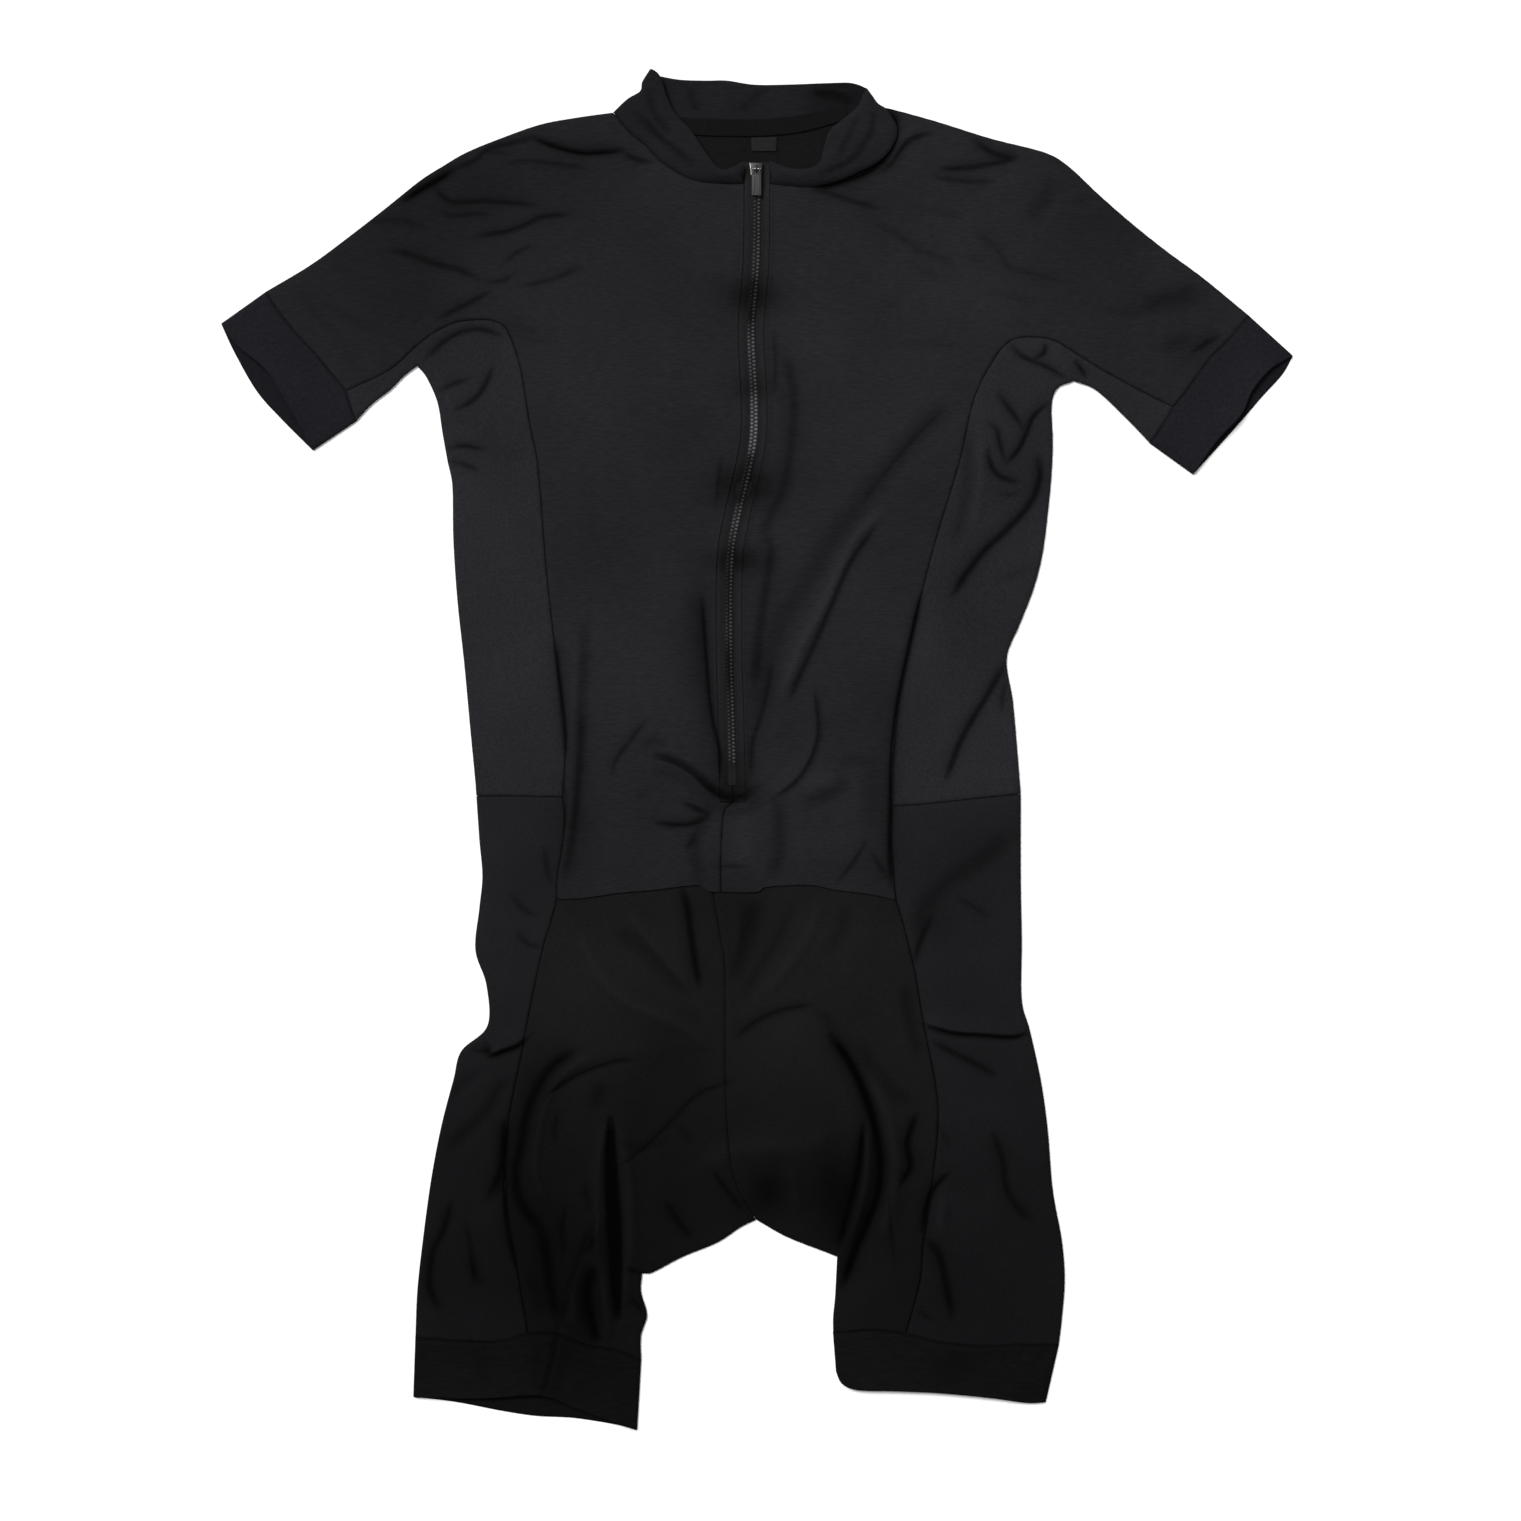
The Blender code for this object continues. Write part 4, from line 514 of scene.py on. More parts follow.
def inset(loop, amount):
    if area_of(loop) < 0:
        loop = loop[::-1]
    before = loop - np.roll(loop, 1, axis=0)
    after = np.roll(loop, -1, axis=0) - loop
    before = before / np.linalg.norm(before, axis=1)[:, None]
    after = after / np.linalg.norm(after, axis=1)[:, None]
    n1 = np.stack([-before[:, 1], before[:, 0]], axis=1)
    n2 = np.stack([-after[:, 1], after[:, 0]], axis=1)
    mid = n1 + n2
    mid = mid / np.maximum(np.linalg.norm(mid, axis=1), 1e-6)[:, None]
    scale = amount / np.maximum(np.sum(mid * n1, axis=1), 0.35)
    return loop + mid * scale[:, None]


class Near:
    """Distance from points to lines, through closely spaced samples of them."""

    def __init__(self, lines, step=0.5):
        pts = []
        for line in lines:
            for a, b in zip(line[:-1], line[1:]):
                n = max(1, int(np.linalg.norm(b - a) / step))
                t = np.arange(n)[:, None] / n
                pts.append(a + t * (b - a))
            pts.append(line[-1:])
        pts = np.vstack(pts)
        self.tree = kdtree.KDTree(len(pts))
        for i, p in enumerate(pts):
            self.tree.insert((float(p[0]), float(p[1]), 0.0), i)
        self.tree.balance()

    def __call__(self, points):
        find = self.tree.find
        return np.array([find((float(x), float(y), 0.0))[2] for x, y in points])


def inside(points, loop):
    x, y = points[:, 0], points[:, 1]
    result = np.zeros(len(points), bool)
    j = len(loop) - 1
    for i in range(len(loop)):
        xi, yi = loop[i]
        xj, yj = loop[j]
        if yi != yj:
            lo, hi = (yi, yj) if yi < yj else (yj, yi)
            band = (y >= lo) & (y < hi)
            if band.any():
                idx = np.nonzero(band)[0]
                hit = x[idx] < (xj - xi) * (y[idx] - yi) / (yj - yi) + xi
                result[idx[hit]] ^= True
        j = i
    return result


def step01(value, low, high):
    t = np.clip((value - low) / (high - low), 0, 1)
    return t * t * (3 - 2 * t)


def lattice(ix, iy, seed):
    n = (ix * 374761393 + iy * 668265263 + seed * 1442695041) & 0x7FFFFFFF
    n = ((n ^ (n >> 13)) * 1274126177) & 0x7FFFFFFF
    return ((n ^ (n >> 16)) & 0xFFFF) / 65535.0 * 2 - 1


def noise(points, wave, seed):
    """Smooth noise between -1 and 1, with bumps about one wave apart."""
    p = points / wave
    i = np.floor(p).astype(np.int64)
    f = p - i
    f = f * f * f * (f * (f * 6 - 15) + 10)
    ix, iy = i[:, 0], i[:, 1]
    a = lattice(ix, iy, seed)
    b = lattice(ix + 1, iy, seed)
    c = lattice(ix, iy + 1, seed)
    d = lattice(ix + 1, iy + 1, seed)
    return (a * (1 - f[:, 0]) + b * f[:, 0]) * (1 - f[:, 1]) \
        + (c * (1 - f[:, 0]) + d * f[:, 0]) * f[:, 1]


def along(points, line):
    """For each point: signed distance to a line (left is +) and place along it, 0 to 1."""
    seg = np.linalg.norm(np.diff(line, axis=0), axis=1)
    start = np.concatenate([[0], np.cumsum(seg)])
    best = np.full(len(points), 1e9)
    side = np.zeros(len(points))
    place = np.zeros(len(points))
    for k, (a, b) in enumerate(zip(line[:-1], line[1:])):
        ab = b - a
        rel = points - a
        t = (rel @ ab) / max(float(ab @ ab), 1e-9)
        tc = np.clip(t, 0, 1)
        off = rel - tc[:, None] * ab
        d = np.hypot(off[:, 0], off[:, 1])
        closer = d < best
        best = np.where(closer, d, best)
        side = np.where(closer, ab[0] * rel[:, 1] - ab[1] * rel[:, 0], side)
        place = np.where(closer, (start[k] + tc * seg[k]) / start[-1], place)
    return np.where(side >= 0, best, -best), place


SILHOUETTE = ["shoulder_l", "band_top_l", "mouth_front_l", "band_low_l", "under_l",
              "side_up_l", "side_low_l", "leg_out_l", "foot_front_l", "leg_in_l", "inner_l",
              "crotch_l", "crotch_r", "inner_r", "leg_in_r", "foot_front_r", "leg_out_r",
              "side_low_r", "side_up_r", "under_r", "band_low_r", "mouth_front_r",
              "band_top_r", "shoulder_r"]
near_edge = Near([curve(n, 1.0) for n in SILHOUETTE])
near_crotch = Near([curve(n, 1.0) for n in ("crotch_l", "crotch_r")])
SEAMS = ["seam_up_l", "waist_seam_l", "seam_mid_l", "seam_lap_l", "shorts_l", "cuff_a_l",
         "cuff_b_l", "band_a_l", "band_b_l", "seam_up_r", "waist_seam_r", "seam_mid_r",
         "seam_lap_r", "shorts_r", "cuff_a_r", "cuff_b_r", "band_a_r", "band_b_r",
         "neck_base_l", "neck_base_r", "front_mid"]


near_seam = Near([curve(n, 1.0) for n in SEAMS])
near_narrow = Near([smooth_curve(rows, 2.0) for _, form, w, _, rows in FOLDS
                    if w <= 5.5 and form in "vgLR"], 1.0)


def fold_field(points, folds=None, shade=False):
    """Sum of the folds, each faded out at its ends, or with shade the painted shade of their creases and
    grooves, with painted light on their ridges.
    """
    total = np.zeros(len(points))
    lit = np.ones(len(points))
    for _, form, w, h, rows in folds or FOLDS:
        line = smooth_curve(rows, 4.0)
        reach = 3.6 * w
        low, high = line.min(axis=0) - reach, line.max(axis=0) + reach
        sel = np.nonzero(np.all((points > low) & (points < high), axis=1))[0]
        if not len(sel):
            continue
        t, u = along(points[sel], line)
        length = np.sum(np.linalg.norm(np.diff(line, axis=0), axis=1))
        end = min(0.45, 16.0 / length)
        taper = np.sqrt(np.clip(step01(u, -0.02, end) * step01(1 - u, -0.02, end), 0, 1))
        taper = np.where(np.abs(t) > 1e8, 0, taper)
        s = t / w
        if form == "v":
            f = -0.62 * np.exp(-(s / 0.5) ** 2) - 0.38 * np.exp(-(s / 1.6) ** 2)
        elif form == "s":
            f = -np.exp(-s * s)
        elif form == "r":
            f = np.exp(-s * s)
        elif form == "g":
            open_to = 0.3 + 0.7 * np.sin(np.pi * np.clip(u, 0, 1)) ** 0.7
            f = -step01(1.2 - np.abs(s) / open_to, 0.0, 0.45)
        else:
            if form == "R":
                s = -s
            f = step01(s, -0.35, 0.35) * np.exp(-np.clip(s - 0.3, 0, None) ** 1.5 / 2.4) \
                - 0.35 * np.exp(-((s + 0.45) / 0.4) ** 2)
            f = f * step01(3.6 - np.abs(s), 0.0, 2.2)
        total[sel] += h * f * taper
        # painted shade: dark in creases, grooves and at the foot of lips, negative (painted light) on ridges
        if form == "v":
            deep = 0.58 * min(1.0, h / 3.0) + 0.40 * float(np.clip((h - 3.4) / 2.0, 0, 1))
            dark = deep * np.exp(-(s / 0.60) ** 2) \
                + 0.26 * min(1.0, h / 3.0) * np.exp(-(s / 1.8) ** 2)
        elif form == "s":
            dark = 0.34 * min(1.0, h / 2.2) * np.exp(-s * s)
        elif form == "g":
            dark = -1.06 * f
        elif form == "r":
            dark = -0.26 * min(1.0, h / 2.4) * np.exp(-s * s)
        else:
            dark = 0.66 * min(1.0, h / 3.5) * np.exp(-((s + 0.35) / 0.55) ** 2)
        lit[sel] *= 1 - np.clip(dark * taper, -0.4, 1)
    return 1 - lit if shade else total


def pad_bulge(points):
    c = to_mm((PAD["x"], PAD["y"]))
    r = np.hypot((points[:, 0] - c[0]) / (PAD["rx"] * UNIT),
                 (points[:, 1] - c[1]) / (PAD["ry"] * UNIT))
    out = np.zeros(len(points))
    sel = r < 1.1
    if sel.any():
        out[sel] = PAD_RISE * (1 - step01(r[sel], 0.2, 1.08)) \
            * (1 - np.exp(-near_crotch(points[sel]) / 16.0))
    return out


def front_height(points, edge=None):
    """Top of the front layer, before its edges are rolled and its seams are drawn in."""
    points = np.asarray(points, float)
    if edge is None:
        edge = near_edge(points)
    height = EDGE_HEIGHT + LOFT * (1 - np.exp(-edge / LOFT_REACH)) + pad_bulge(points)
    fade = 1 - np.exp(-edge / 5.0)
    height += fade * fold_field(points)
    height += fade * (0.60 * noise(points, 61.0, 3) + 0.40 * noise(points, 27.0, 5)
                      + 0.15 * noise(points, 11.0, 7))
    floor = 1.8 + SEAT_PART * pad_bulge(points)
    over = height - floor
    return floor + np.where(over > 1.0, over, np.exp(np.clip(over - 1.0, -20, 0)))


def jersey_lift(points):
    y = CHART_CENTRE[1] - points[:, 1] / UNIT
    return HEM_LIFT * step01(y, 826, 866)


def rolled(z, edge, low=EDGE_LOW):
    """Bends the cloth down round its fold at the garment's outline."""
    t = np.clip(edge / ROLL, 0, 1)
    return low + (z - low) * np.sqrt(np.clip(1 - (1 - t) ** 2, 0, 1))


# ------------------------------------------------------------------ materials
def knit(name, rgb, rough, sheen, rib=(900.0, 160.0), bump=0.25, tint=0.16, grain=2600.0,
         fade=None, spec=0.014):
    """Fine knit: a soft mottling, short ribs across the cloth, single stitches, painted shade and light from
    the crease attribute, and with fade a painted falloff of light.
    """
    m = bpy.data.materials.new(name)
    m.use_nodes = True
    nt = m.node_tree
    b = nt.nodes["Principled BSDF"]
    b.inputs["Roughness"].default_value = rough
    b.inputs["Specular IOR Level"].default_value = spec
    b.inputs["Sheen Weight"].default_value = sheen
    b.inputs["Sheen Roughness"].default_value = 0.45
    b.inputs["Sheen Tint"].default_value = (0.75, 0.78, 1.0, 1)
    tex = nt.nodes.new("ShaderNodeTexCoord")
    big = nt.nodes.new("ShaderNodeTexNoise")
    big.inputs["Scale"].default_value = 9.0
    big.inputs["Detail"].default_value = 3.0
    nt.links.new(tex.outputs["Object"], big.inputs["Vector"])
    stretch = nt.nodes.new("ShaderNodeMapping")
    stretch.inputs["Scale"].default_value = (rib[1], rib[0], rib[1])
    nt.links.new(tex.outputs["Object"], stretch.inputs["Vector"])
    ribs = nt.nodes.new("ShaderNodeTexNoise")
    ribs.inputs["Scale"].default_value = 1.0
    ribs.inputs["Detail"].default_value = 2.0
    nt.links.new(stretch.outputs["Vector"], ribs.inputs["Vector"])
    stitch = nt.nodes.new("ShaderNodeTexVoronoi")
    stitch.inputs["Scale"].default_value = grain
    nt.links.new(tex.outputs["Object"], stitch.inputs["Vector"])
    ramp = nt.nodes.new("ShaderNodeMapRange")
    ramp.inputs["From Min"].default_value = 0.3
    ramp.inputs["From Max"].default_value = 0.7
    ramp.inputs["To Min"].default_value = 1 - tint
    ramp.inputs["To Max"].default_value = 1 + tint
    nt.links.new(big.outputs["Fac"], ramp.inputs["Value"])
    fine = nt.nodes.new("ShaderNodeMapRange")
    fine.inputs["From Min"].default_value = 0.25
    fine.inputs["From Max"].default_value = 0.75
    fine.inputs["To Min"].default_value = 0.8
    fine.inputs["To Max"].default_value = 1.2
    nt.links.new(ribs.outputs["Fac"], fine.inputs["Value"])
    mul = nt.nodes.new("ShaderNodeMath")
    mul.operation = "MULTIPLY"
    nt.links.new(ramp.outputs["Result"], mul.inputs[0])
    nt.links.new(fine.outputs["Result"], mul.inputs[1])
    # painted shade: the crease attribute darkens the base colour in creases, grooves and broadly shaded cloth,
    # and lightens it as painted light where it is below zero
    crease = nt.nodes.new("ShaderNodeAttribute")
    crease.attribute_name = "crease"
    unshaded_share = nt.nodes.new("ShaderNodeMath")
    unshaded_share.operation = "MULTIPLY_ADD"
    unshaded_share.inputs[1].default_value = -0.96
    unshaded_share.inputs[2].default_value = 1.0
    nt.links.new(crease.outputs["Fac"], unshaded_share.inputs[0])
    deep = nt.nodes.new("ShaderNodeMath")
    deep.operation = "MULTIPLY"
    nt.links.new(mul.outputs["Value"], deep.inputs[0])
    nt.links.new(unshaded_share.outputs["Value"], deep.inputs[1])
    mul = deep
    if fade:
        # painted shade: the base colour darkens along y towards the legs, a falloff of light painted in
        split = nt.nodes.new("ShaderNodeSeparateXYZ")
        nt.links.new(tex.outputs["Object"], split.inputs["Vector"])
        painted_falloff_ramp = nt.nodes.new("ShaderNodeMapRange")
        painted_falloff_ramp.interpolation_type = "SMOOTHSTEP"
        painted_falloff_ramp.inputs["From Min"].default_value = fade[0]
        painted_falloff_ramp.inputs["From Max"].default_value = fade[1]
        painted_falloff_ramp.inputs["To Min"].default_value = 1.0
        painted_falloff_ramp.inputs["To Max"].default_value = fade[2]
        nt.links.new(split.outputs["Y"], painted_falloff_ramp.inputs["Value"])
        painted_falloff = nt.nodes.new("ShaderNodeMath")
        painted_falloff.operation = "MULTIPLY"
        nt.links.new(mul.outputs["Value"], painted_falloff.inputs[0])
        nt.links.new(painted_falloff_ramp.outputs["Result"], painted_falloff.inputs[1])
        mul = painted_falloff
    colour = nt.nodes.new("ShaderNodeVectorMath")
    colour.operation = "SCALE"
    colour.inputs[0].default_value = rgb
    nt.links.new(mul.outputs["Value"], colour.inputs["Scale"])
    nt.links.new(colour.outputs["Vector"], b.inputs["Base Color"])
    add = nt.nodes.new("ShaderNodeMath")
    add.operation = "ADD"
    nt.links.new(ribs.outputs["Fac"], add.inputs[0])
    nt.links.new(stitch.outputs["Distance"], add.inputs[1])
    bn = nt.nodes.new("ShaderNodeBump")
    bn.inputs["Strength"].default_value = bump
    bn.inputs["Distance"].default_value = 0.0004
    nt.links.new(add.outputs["Value"], bn.inputs["Height"])
    nt.links.new(bn.outputs["Normal"], b.inputs["Normal"])
    return m


def hard(name, rgb, rough, metallic=0.0, spec=0.5, bump=0.08, wear=None, shaded=False):
    m = bpy.data.materials.new(name)
    m.use_nodes = True
    nt = m.node_tree
    b = nt.nodes["Principled BSDF"]
    b.inputs["Metallic"].default_value = metallic
    b.inputs["Specular IOR Level"].default_value = spec
    tex = nt.nodes.new("ShaderNodeTexCoord")
    n = nt.nodes.new("ShaderNodeTexNoise")
    n.inputs["Scale"].default_value = 700.0
    n.inputs["Detail"].default_value = 4.0
    nt.links.new(tex.outputs["Object"], n.inputs["Vector"])
    r = nt.nodes.new("ShaderNodeMapRange")
    r.inputs["To Min"].default_value = max(0.05, rough - 0.12)
    r.inputs["To Max"].default_value = rough + 0.12
    nt.links.new(n.outputs["Fac"], r.inputs["Value"])
    nt.links.new(r.outputs["Result"], b.inputs["Roughness"])
    ramp = nt.nodes.new("ShaderNodeValToRGB")
    ramp.color_ramp.elements[0].position = 0.35
    ramp.color_ramp.elements[1].position = 0.75
    ramp.color_ramp.elements[0].color = (*[c * 0.8 for c in rgb], 1)
    ramp.color_ramp.elements[1].color = (*(wear or [c * 1.25 for c in rgb]), 1)
    nt.links.new(n.outputs["Fac"], ramp.inputs["Fac"])
    nt.links.new(ramp.outputs["Color"], b.inputs["Base Color"])
    if shaded:
        # painted light: the crease attribute darkens heads in a dip of the zip and brightens those on its
        # crests
        crease = nt.nodes.new("ShaderNodeAttribute")
        crease.attribute_name = "crease"
        lit = nt.nodes.new("ShaderNodeMath")
        lit.operation = "SUBTRACT"
        lit.inputs[0].default_value = 1.0
        nt.links.new(crease.outputs["Fac"], lit.inputs[1])
        toned = nt.nodes.new("ShaderNodeVectorMath")
        toned.operation = "SCALE"
        nt.links.new(ramp.outputs["Color"], toned.inputs[0])
        nt.links.new(lit.outputs["Value"], toned.inputs["Scale"])
        nt.links.new(toned.outputs["Vector"], b.inputs["Base Color"])
    bn = nt.nodes.new("ShaderNodeBump")
    bn.inputs["Strength"].default_value = bump
    bn.inputs["Distance"].default_value = 0.0001
    nt.links.new(n.outputs["Fac"], bn.inputs["Height"])
    nt.links.new(bn.outputs["Normal"], b.inputs["Normal"])
    return m


JERSEY = knit("jersey_knit", (0.0131, 0.0131, 0.0145), 0.74, 0.008)
JERSEY_IN = knit("jersey_inside", (0.0066, 0.0066, 0.0071), 0.8, 0.006)
SIDE = knit("side_knit", (0.0154, 0.0154, 0.0178), 0.72, 0.01, rib=(500.0, 500.0))
# fade paints a falloff of light on the hip and shorts, darker towards the legs
HIP = knit("hip_knit", (0.0114, 0.0114, 0.0126), 0.68, 0.006, rib=(1100.0, 500.0), bump=0.12,
           fade=(-0.10, -0.34, 0.50))
SHORTS = knit("shorts_knit", (0.0082, 0.0082, 0.0084), 0.66, 0.003, rib=(1100.0, 500.0),
              bump=0.12, fade=(-0.14, -0.36, 0.55))
CUFF = knit("sleeve_band", (0.0108, 0.0105, 0.0131), 0.74, 0.01, rib=(420.0, 420.0))
BAND = knit("leg_band", (0.0042, 0.0042, 0.0042), 0.78, 0.003, rib=(700.0, 120.0), bump=0.2)
TAPE = knit("zip_tape", (0.0134, 0.0134, 0.0146), 0.75, 0.006, rib=(300.0, 1200.0), bump=0.3)
NECK_TAPE = knit("neck_tape", (0.0058, 0.0058, 0.0063), 0.78, 0.006, rib=(300.0, 1200.0),
                 bump=0.3)
LABEL_SATIN = knit("label_satin", (0.0145, 0.0143, 0.0149), 0.6, 0.008, rib=(1200.0, 300.0),
                   bump=0.15)
THREAD = knit("thread", (0.009, 0.009, 0.010), 0.6, 0.02, grain=5200.0)
TEETH = hard("zip_teeth", (0.060, 0.060, 0.062), 0.45, spec=0.10, shaded=True)
COIL = hard("zip_cord", (0.012, 0.012, 0.0126), 0.65, spec=0.04, shaded=True)
LACQUER = hard("slider_lacquer", (0.005, 0.005, 0.005), 0.35, metallic=0.3)
BARE = hard("worn_metal", (0.50, 0.48, 0.44), 0.35, metallic=0.9)
GRIP = hard("pull_grip", (0.016, 0.016, 0.018), 0.5, spec=0.3)

SHEETS = []


def finish_mesh(name, bm, mat, node, slot, body="garment", smooth=True, sharp=None):
    mesh = bpy.data.meshes.new(name)
    bm.to_mesh(mesh)
    bm.free()
    mesh.materials.append(mat)
    obj = bpy.data.objects.new(name, mesh)
    bpy.context.scene.collection.objects.link(obj)
    if smooth:
        mesh.shade_smooth()
        if sharp:
            mesh.set_sharp_from_angle(angle=math.radians(sharp))
    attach(obj, body)
    if node:
        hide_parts(node)
    return obj


def panel(name, loop, top, mat, node, slot, thick=THICK, step=None, rows=(0.35, 0.9, 1.7, 2.9),
          gap=SEAM_INSET, shade=None):
    """A cloth shell: its outline, rows beside the outline, a net inside, then its wall."""
    step = step or STEP
    outline = inset(loop, gap)
    near = Near([np.vstack([outline, outline[:1]])], 0.4)
    pts = [outline]
    for d in rows:
        row = inset(outline, d)
        keep = inside(row, outline)
        row = row[keep]
        dist = near(row)
        row = row[np.abs(dist - d) < 0.25 * d]
        # thin out rows that bunch up in tight corners
        picked = [row[0]] if len(row) else []
        for p in row[1:]:
            if np.linalg.norm(p - picked[-1]) > 0.55 * step:
                picked.append(p)
        if picked:
            pts.append(np.array(picked))
    low, high = outline.min(axis=0), outline.max(axis=0)
    keep_off = rows[-1] if rows else 0
    for pitch, fine in ((step, False), (FINE, True)):
        ys = np.arange(low[1] + pitch / 2, high[1], pitch * 0.866)
        xs = np.arange(low[0], high[0] + pitch, pitch)
        gx, gy = np.meshgrid(xs, ys)
        gx = gx + (np.arange(len(ys)) % 2)[:, None] * pitch / 2
        net = np.stack([gx.ravel(), gy.ravel()], axis=1)
        net = net[inside(net, outline)]
        if not len(net):
            continue
        off = near_narrow(net)
        net = net[off < FINE_REACH] if fine else net[off > FINE_REACH + 0.4 * pitch]
        if len(net):
            net = net[near(net) > keep_off + 0.5 * pitch]
            pts.append(net)
    allp = np.vstack(pts)
    n = len(outline)
    verts = [Vector((float(x), float(y))) for x, y in allp]
    edges = [(i, (i + 1) % n) for i in range(n)]
    v2, _, faces, *_ = delaunay_2d_cdt(verts, edges, [list(range(n))], 1, 1e-5)
    xy = np.array([(v.x, v.y) for v in v2])
    z = top(xy)
    bm = bmesh.new()
    layer = bm.verts.layers.float.new("crease")
    made = [bm.verts.new((x / 1000, y / 1000, zz / 1000)) for (x, y), zz in zip(xy, z)]
    # painted light and shade from the shade function are kept in the crease attribute
    if shade:
        for v, value in zip(made, shade(xy)):
            v[layer] = float(value)
    for f in faces:
        bm.faces.new([made[i] for i in f])
    bmesh.ops.recalc_face_normals(bm, faces=bm.faces)
    if sum(f.normal.z for f in bm.faces) < 0:
        bmesh.ops.reverse_faces(bm, faces=bm.faces)
    obj = finish_mesh(name, bm, mat, node, slot)
    mod = obj.modifiers.new("wall", "SOLIDIFY")
    mod.thickness = thick / 1000
    mod.offset = -1.0
    w, l = (high - low) / 1000
    a = abs(area_of(outline)) / 1e6
    SHEETS.append((name, round(float(w), 4), round(float(l), 4), round(a, 5)))
    return obj


def seam_dip(points, near, depth=0.75, width=1.1):
    return depth * np.exp(-(near(points) / width) ** 2)


near_shorts_mid = Near([curve("shorts_mid", 1.0)])


def broad_painted_shade(points):
    # painted shade from the patches above, painted light where a depth is below zero
    lit = np.ones(len(points))
    for _, x, y, rx, ry, depth in PAINTED_SHADING_PATCHES:
        d = (points - to_mm((x, y))) / (np.array([rx, ry]) * UNIT)
        lit *= 1 - depth * np.exp(-np.sum(d * d, axis=1))
    return 1 - lit


def front_shade(points):
    # painted shade of the folds and broad painted shading, and darker along the seams
    seam = 0.40 * np.exp(-(near_seam(points) / 0.9) ** 2)
    lit = (1 - fold_field(points, shade=True)) * (1 - seam) * (1 - broad_painted_shade(points))
    return 1 - lit


def front_top(lift=None, dips=()):
    def height(points):
        edge = near_edge(points)
        z = front_height(points, edge)
        if lift is not None:
            z = z + lift(points)
        pucker = 1 + 0.45 * noise(points, 5.0, 11)
        z = z - seam_dip(points, near_seam) * pucker
        for near, depth, width in dips:
            z = z - seam_dip(points, near, depth, width) * pucker
        return rolled(z, edge)
    return height


# ------------------------------------------------------------------ zip line
ZIP_ROWS = [(757, 158), (757, 178), (756, 262), (751, 330), (754, 400), (752, 449), (737, 516),
            (730, 560), (729, 640), (731, 720), (733, 802)]
ZIP_LINE = smooth_curve(ZIP_ROWS, 1.0)


def beside_zip(offset, y_top, y_low, step=None):
    direction = np.gradient(ZIP_LINE, axis=0)
    direction /= np.linalg.norm(direction, axis=1)[:, None]
    side = np.stack([-direction[:, 1], direction[:, 0]], axis=1)
    line = ZIP_LINE + side * offset
    hi = (CHART_CENTRE[1] - y_top) * UNIT
    lo = (CHART_CENTRE[1] - y_low) * UNIT
    y, x = line[::-1, 1], line[::-1, 0]
    n = max(2, int((hi - lo) / (step or STEP)))
    ys = np.linspace(hi, lo, n + 1)
    return np.stack([np.interp(ys, y, x), ys], axis=1)


left_edge = beside_zip(-ZIP_TAPE_HALF, 184, 802)
right_edge = beside_zip(ZIP_TAPE_HALF, 184, 802)
JUNCTION["throat_l"] = (left_edge[0][0] / UNIT + CHART_CENTRE[0], 184)
JUNCTION["throat_r"] = (right_edge[0][0] / UNIT + CHART_CENTRE[0], 184)
near_zip_edge = Near([left_edge, right_edge])
near_topstitch = Near([beside_zip(-ZIP_TAPE_HALF - 3.2, 188, 800),
                       beside_zip(ZIP_TAPE_HALF + 3.2, 188, 800)])
HEM = [curve("hem_a", 1.0), curve("hem_b", 1.0)]
near_hem = Near(HEM)


def hem_stitch(points):
    """Two fine needle lines above the jersey's free hem."""
    d = near_hem(points)
    return 0.28 * (np.exp(-((d - 15.0) / 0.9) ** 2) + np.exp(-((d - 19.0) / 0.9) ** 2))


def jersey_top(points):
    z = front_top(jersey_lift, [(near_topstitch, 0.3, 0.9)])(points)
    z = z - hem_stitch(points)
    return z + 0.35 * np.exp(-(near_zip_edge(points) / 3.0) ** 2)


front_left = panel("cloth_front_left",
                   chain("shoulder_l", "cuff_a_l", "seam_up_l", "seam_mid_l", "seam_lap_l",
                         "hem_a", "-front_mid", left_edge[::-1], "-neck_base_l"),
                   jersey_top, JERSEY, "front_left", "jersey",
                    shade=front_shade)
front_right = panel("cloth_front_right",
                    chain("shoulder_r", "cuff_a_r", "seam_up_r", "seam_mid_r", "seam_lap_r",
                          "-hem_b", "-front_mid", right_edge[::-1], "neck_base_r"),
                    jersey_top, JERSEY, "front_right", "jersey",
                    shade=front_shade)
panel("cloth_side_left", chain("-cuff_b_l", "seam_up_l", "waist_seam_l", "-side_up_l", "-under_l"),
      front_top(), SIDE, "side_left", "side", shade=front_shade)
panel("cloth_side_right", chain("-cuff_b_r", "seam_up_r", "waist_seam_r", "-side_up_r", "-under_r"),
      front_top(), SIDE, "side_right", "side", shade=front_shade)
panel("cloth_hip_left", chain("-waist_seam_l", "seam_mid_l", "seam_lap_l", "shorts_l", "-band_a_l",
                              "-side_low_l"), front_top(), HIP, "hip_left", "shorts",
      shade=front_shade)
panel("cloth_hip_right", chain("-waist_seam_r", "seam_mid_r", "seam_lap_r", "shorts_r",
                               "-band_a_r", "-side_low_r"), front_top(), HIP, "hip_right",
      "shorts", shade=front_shade)
panel("cloth_thigh_left", chain("-lap_top_l", "seam_lap_l", "shorts_l", "band_b_l", "inner_l",
                                "crotch_l", "-shorts_mid"),
      front_top(None, [(near_shorts_mid, 0.9, 1.4)]), SHORTS, "thigh_left", "shorts",
      shade=front_shade)
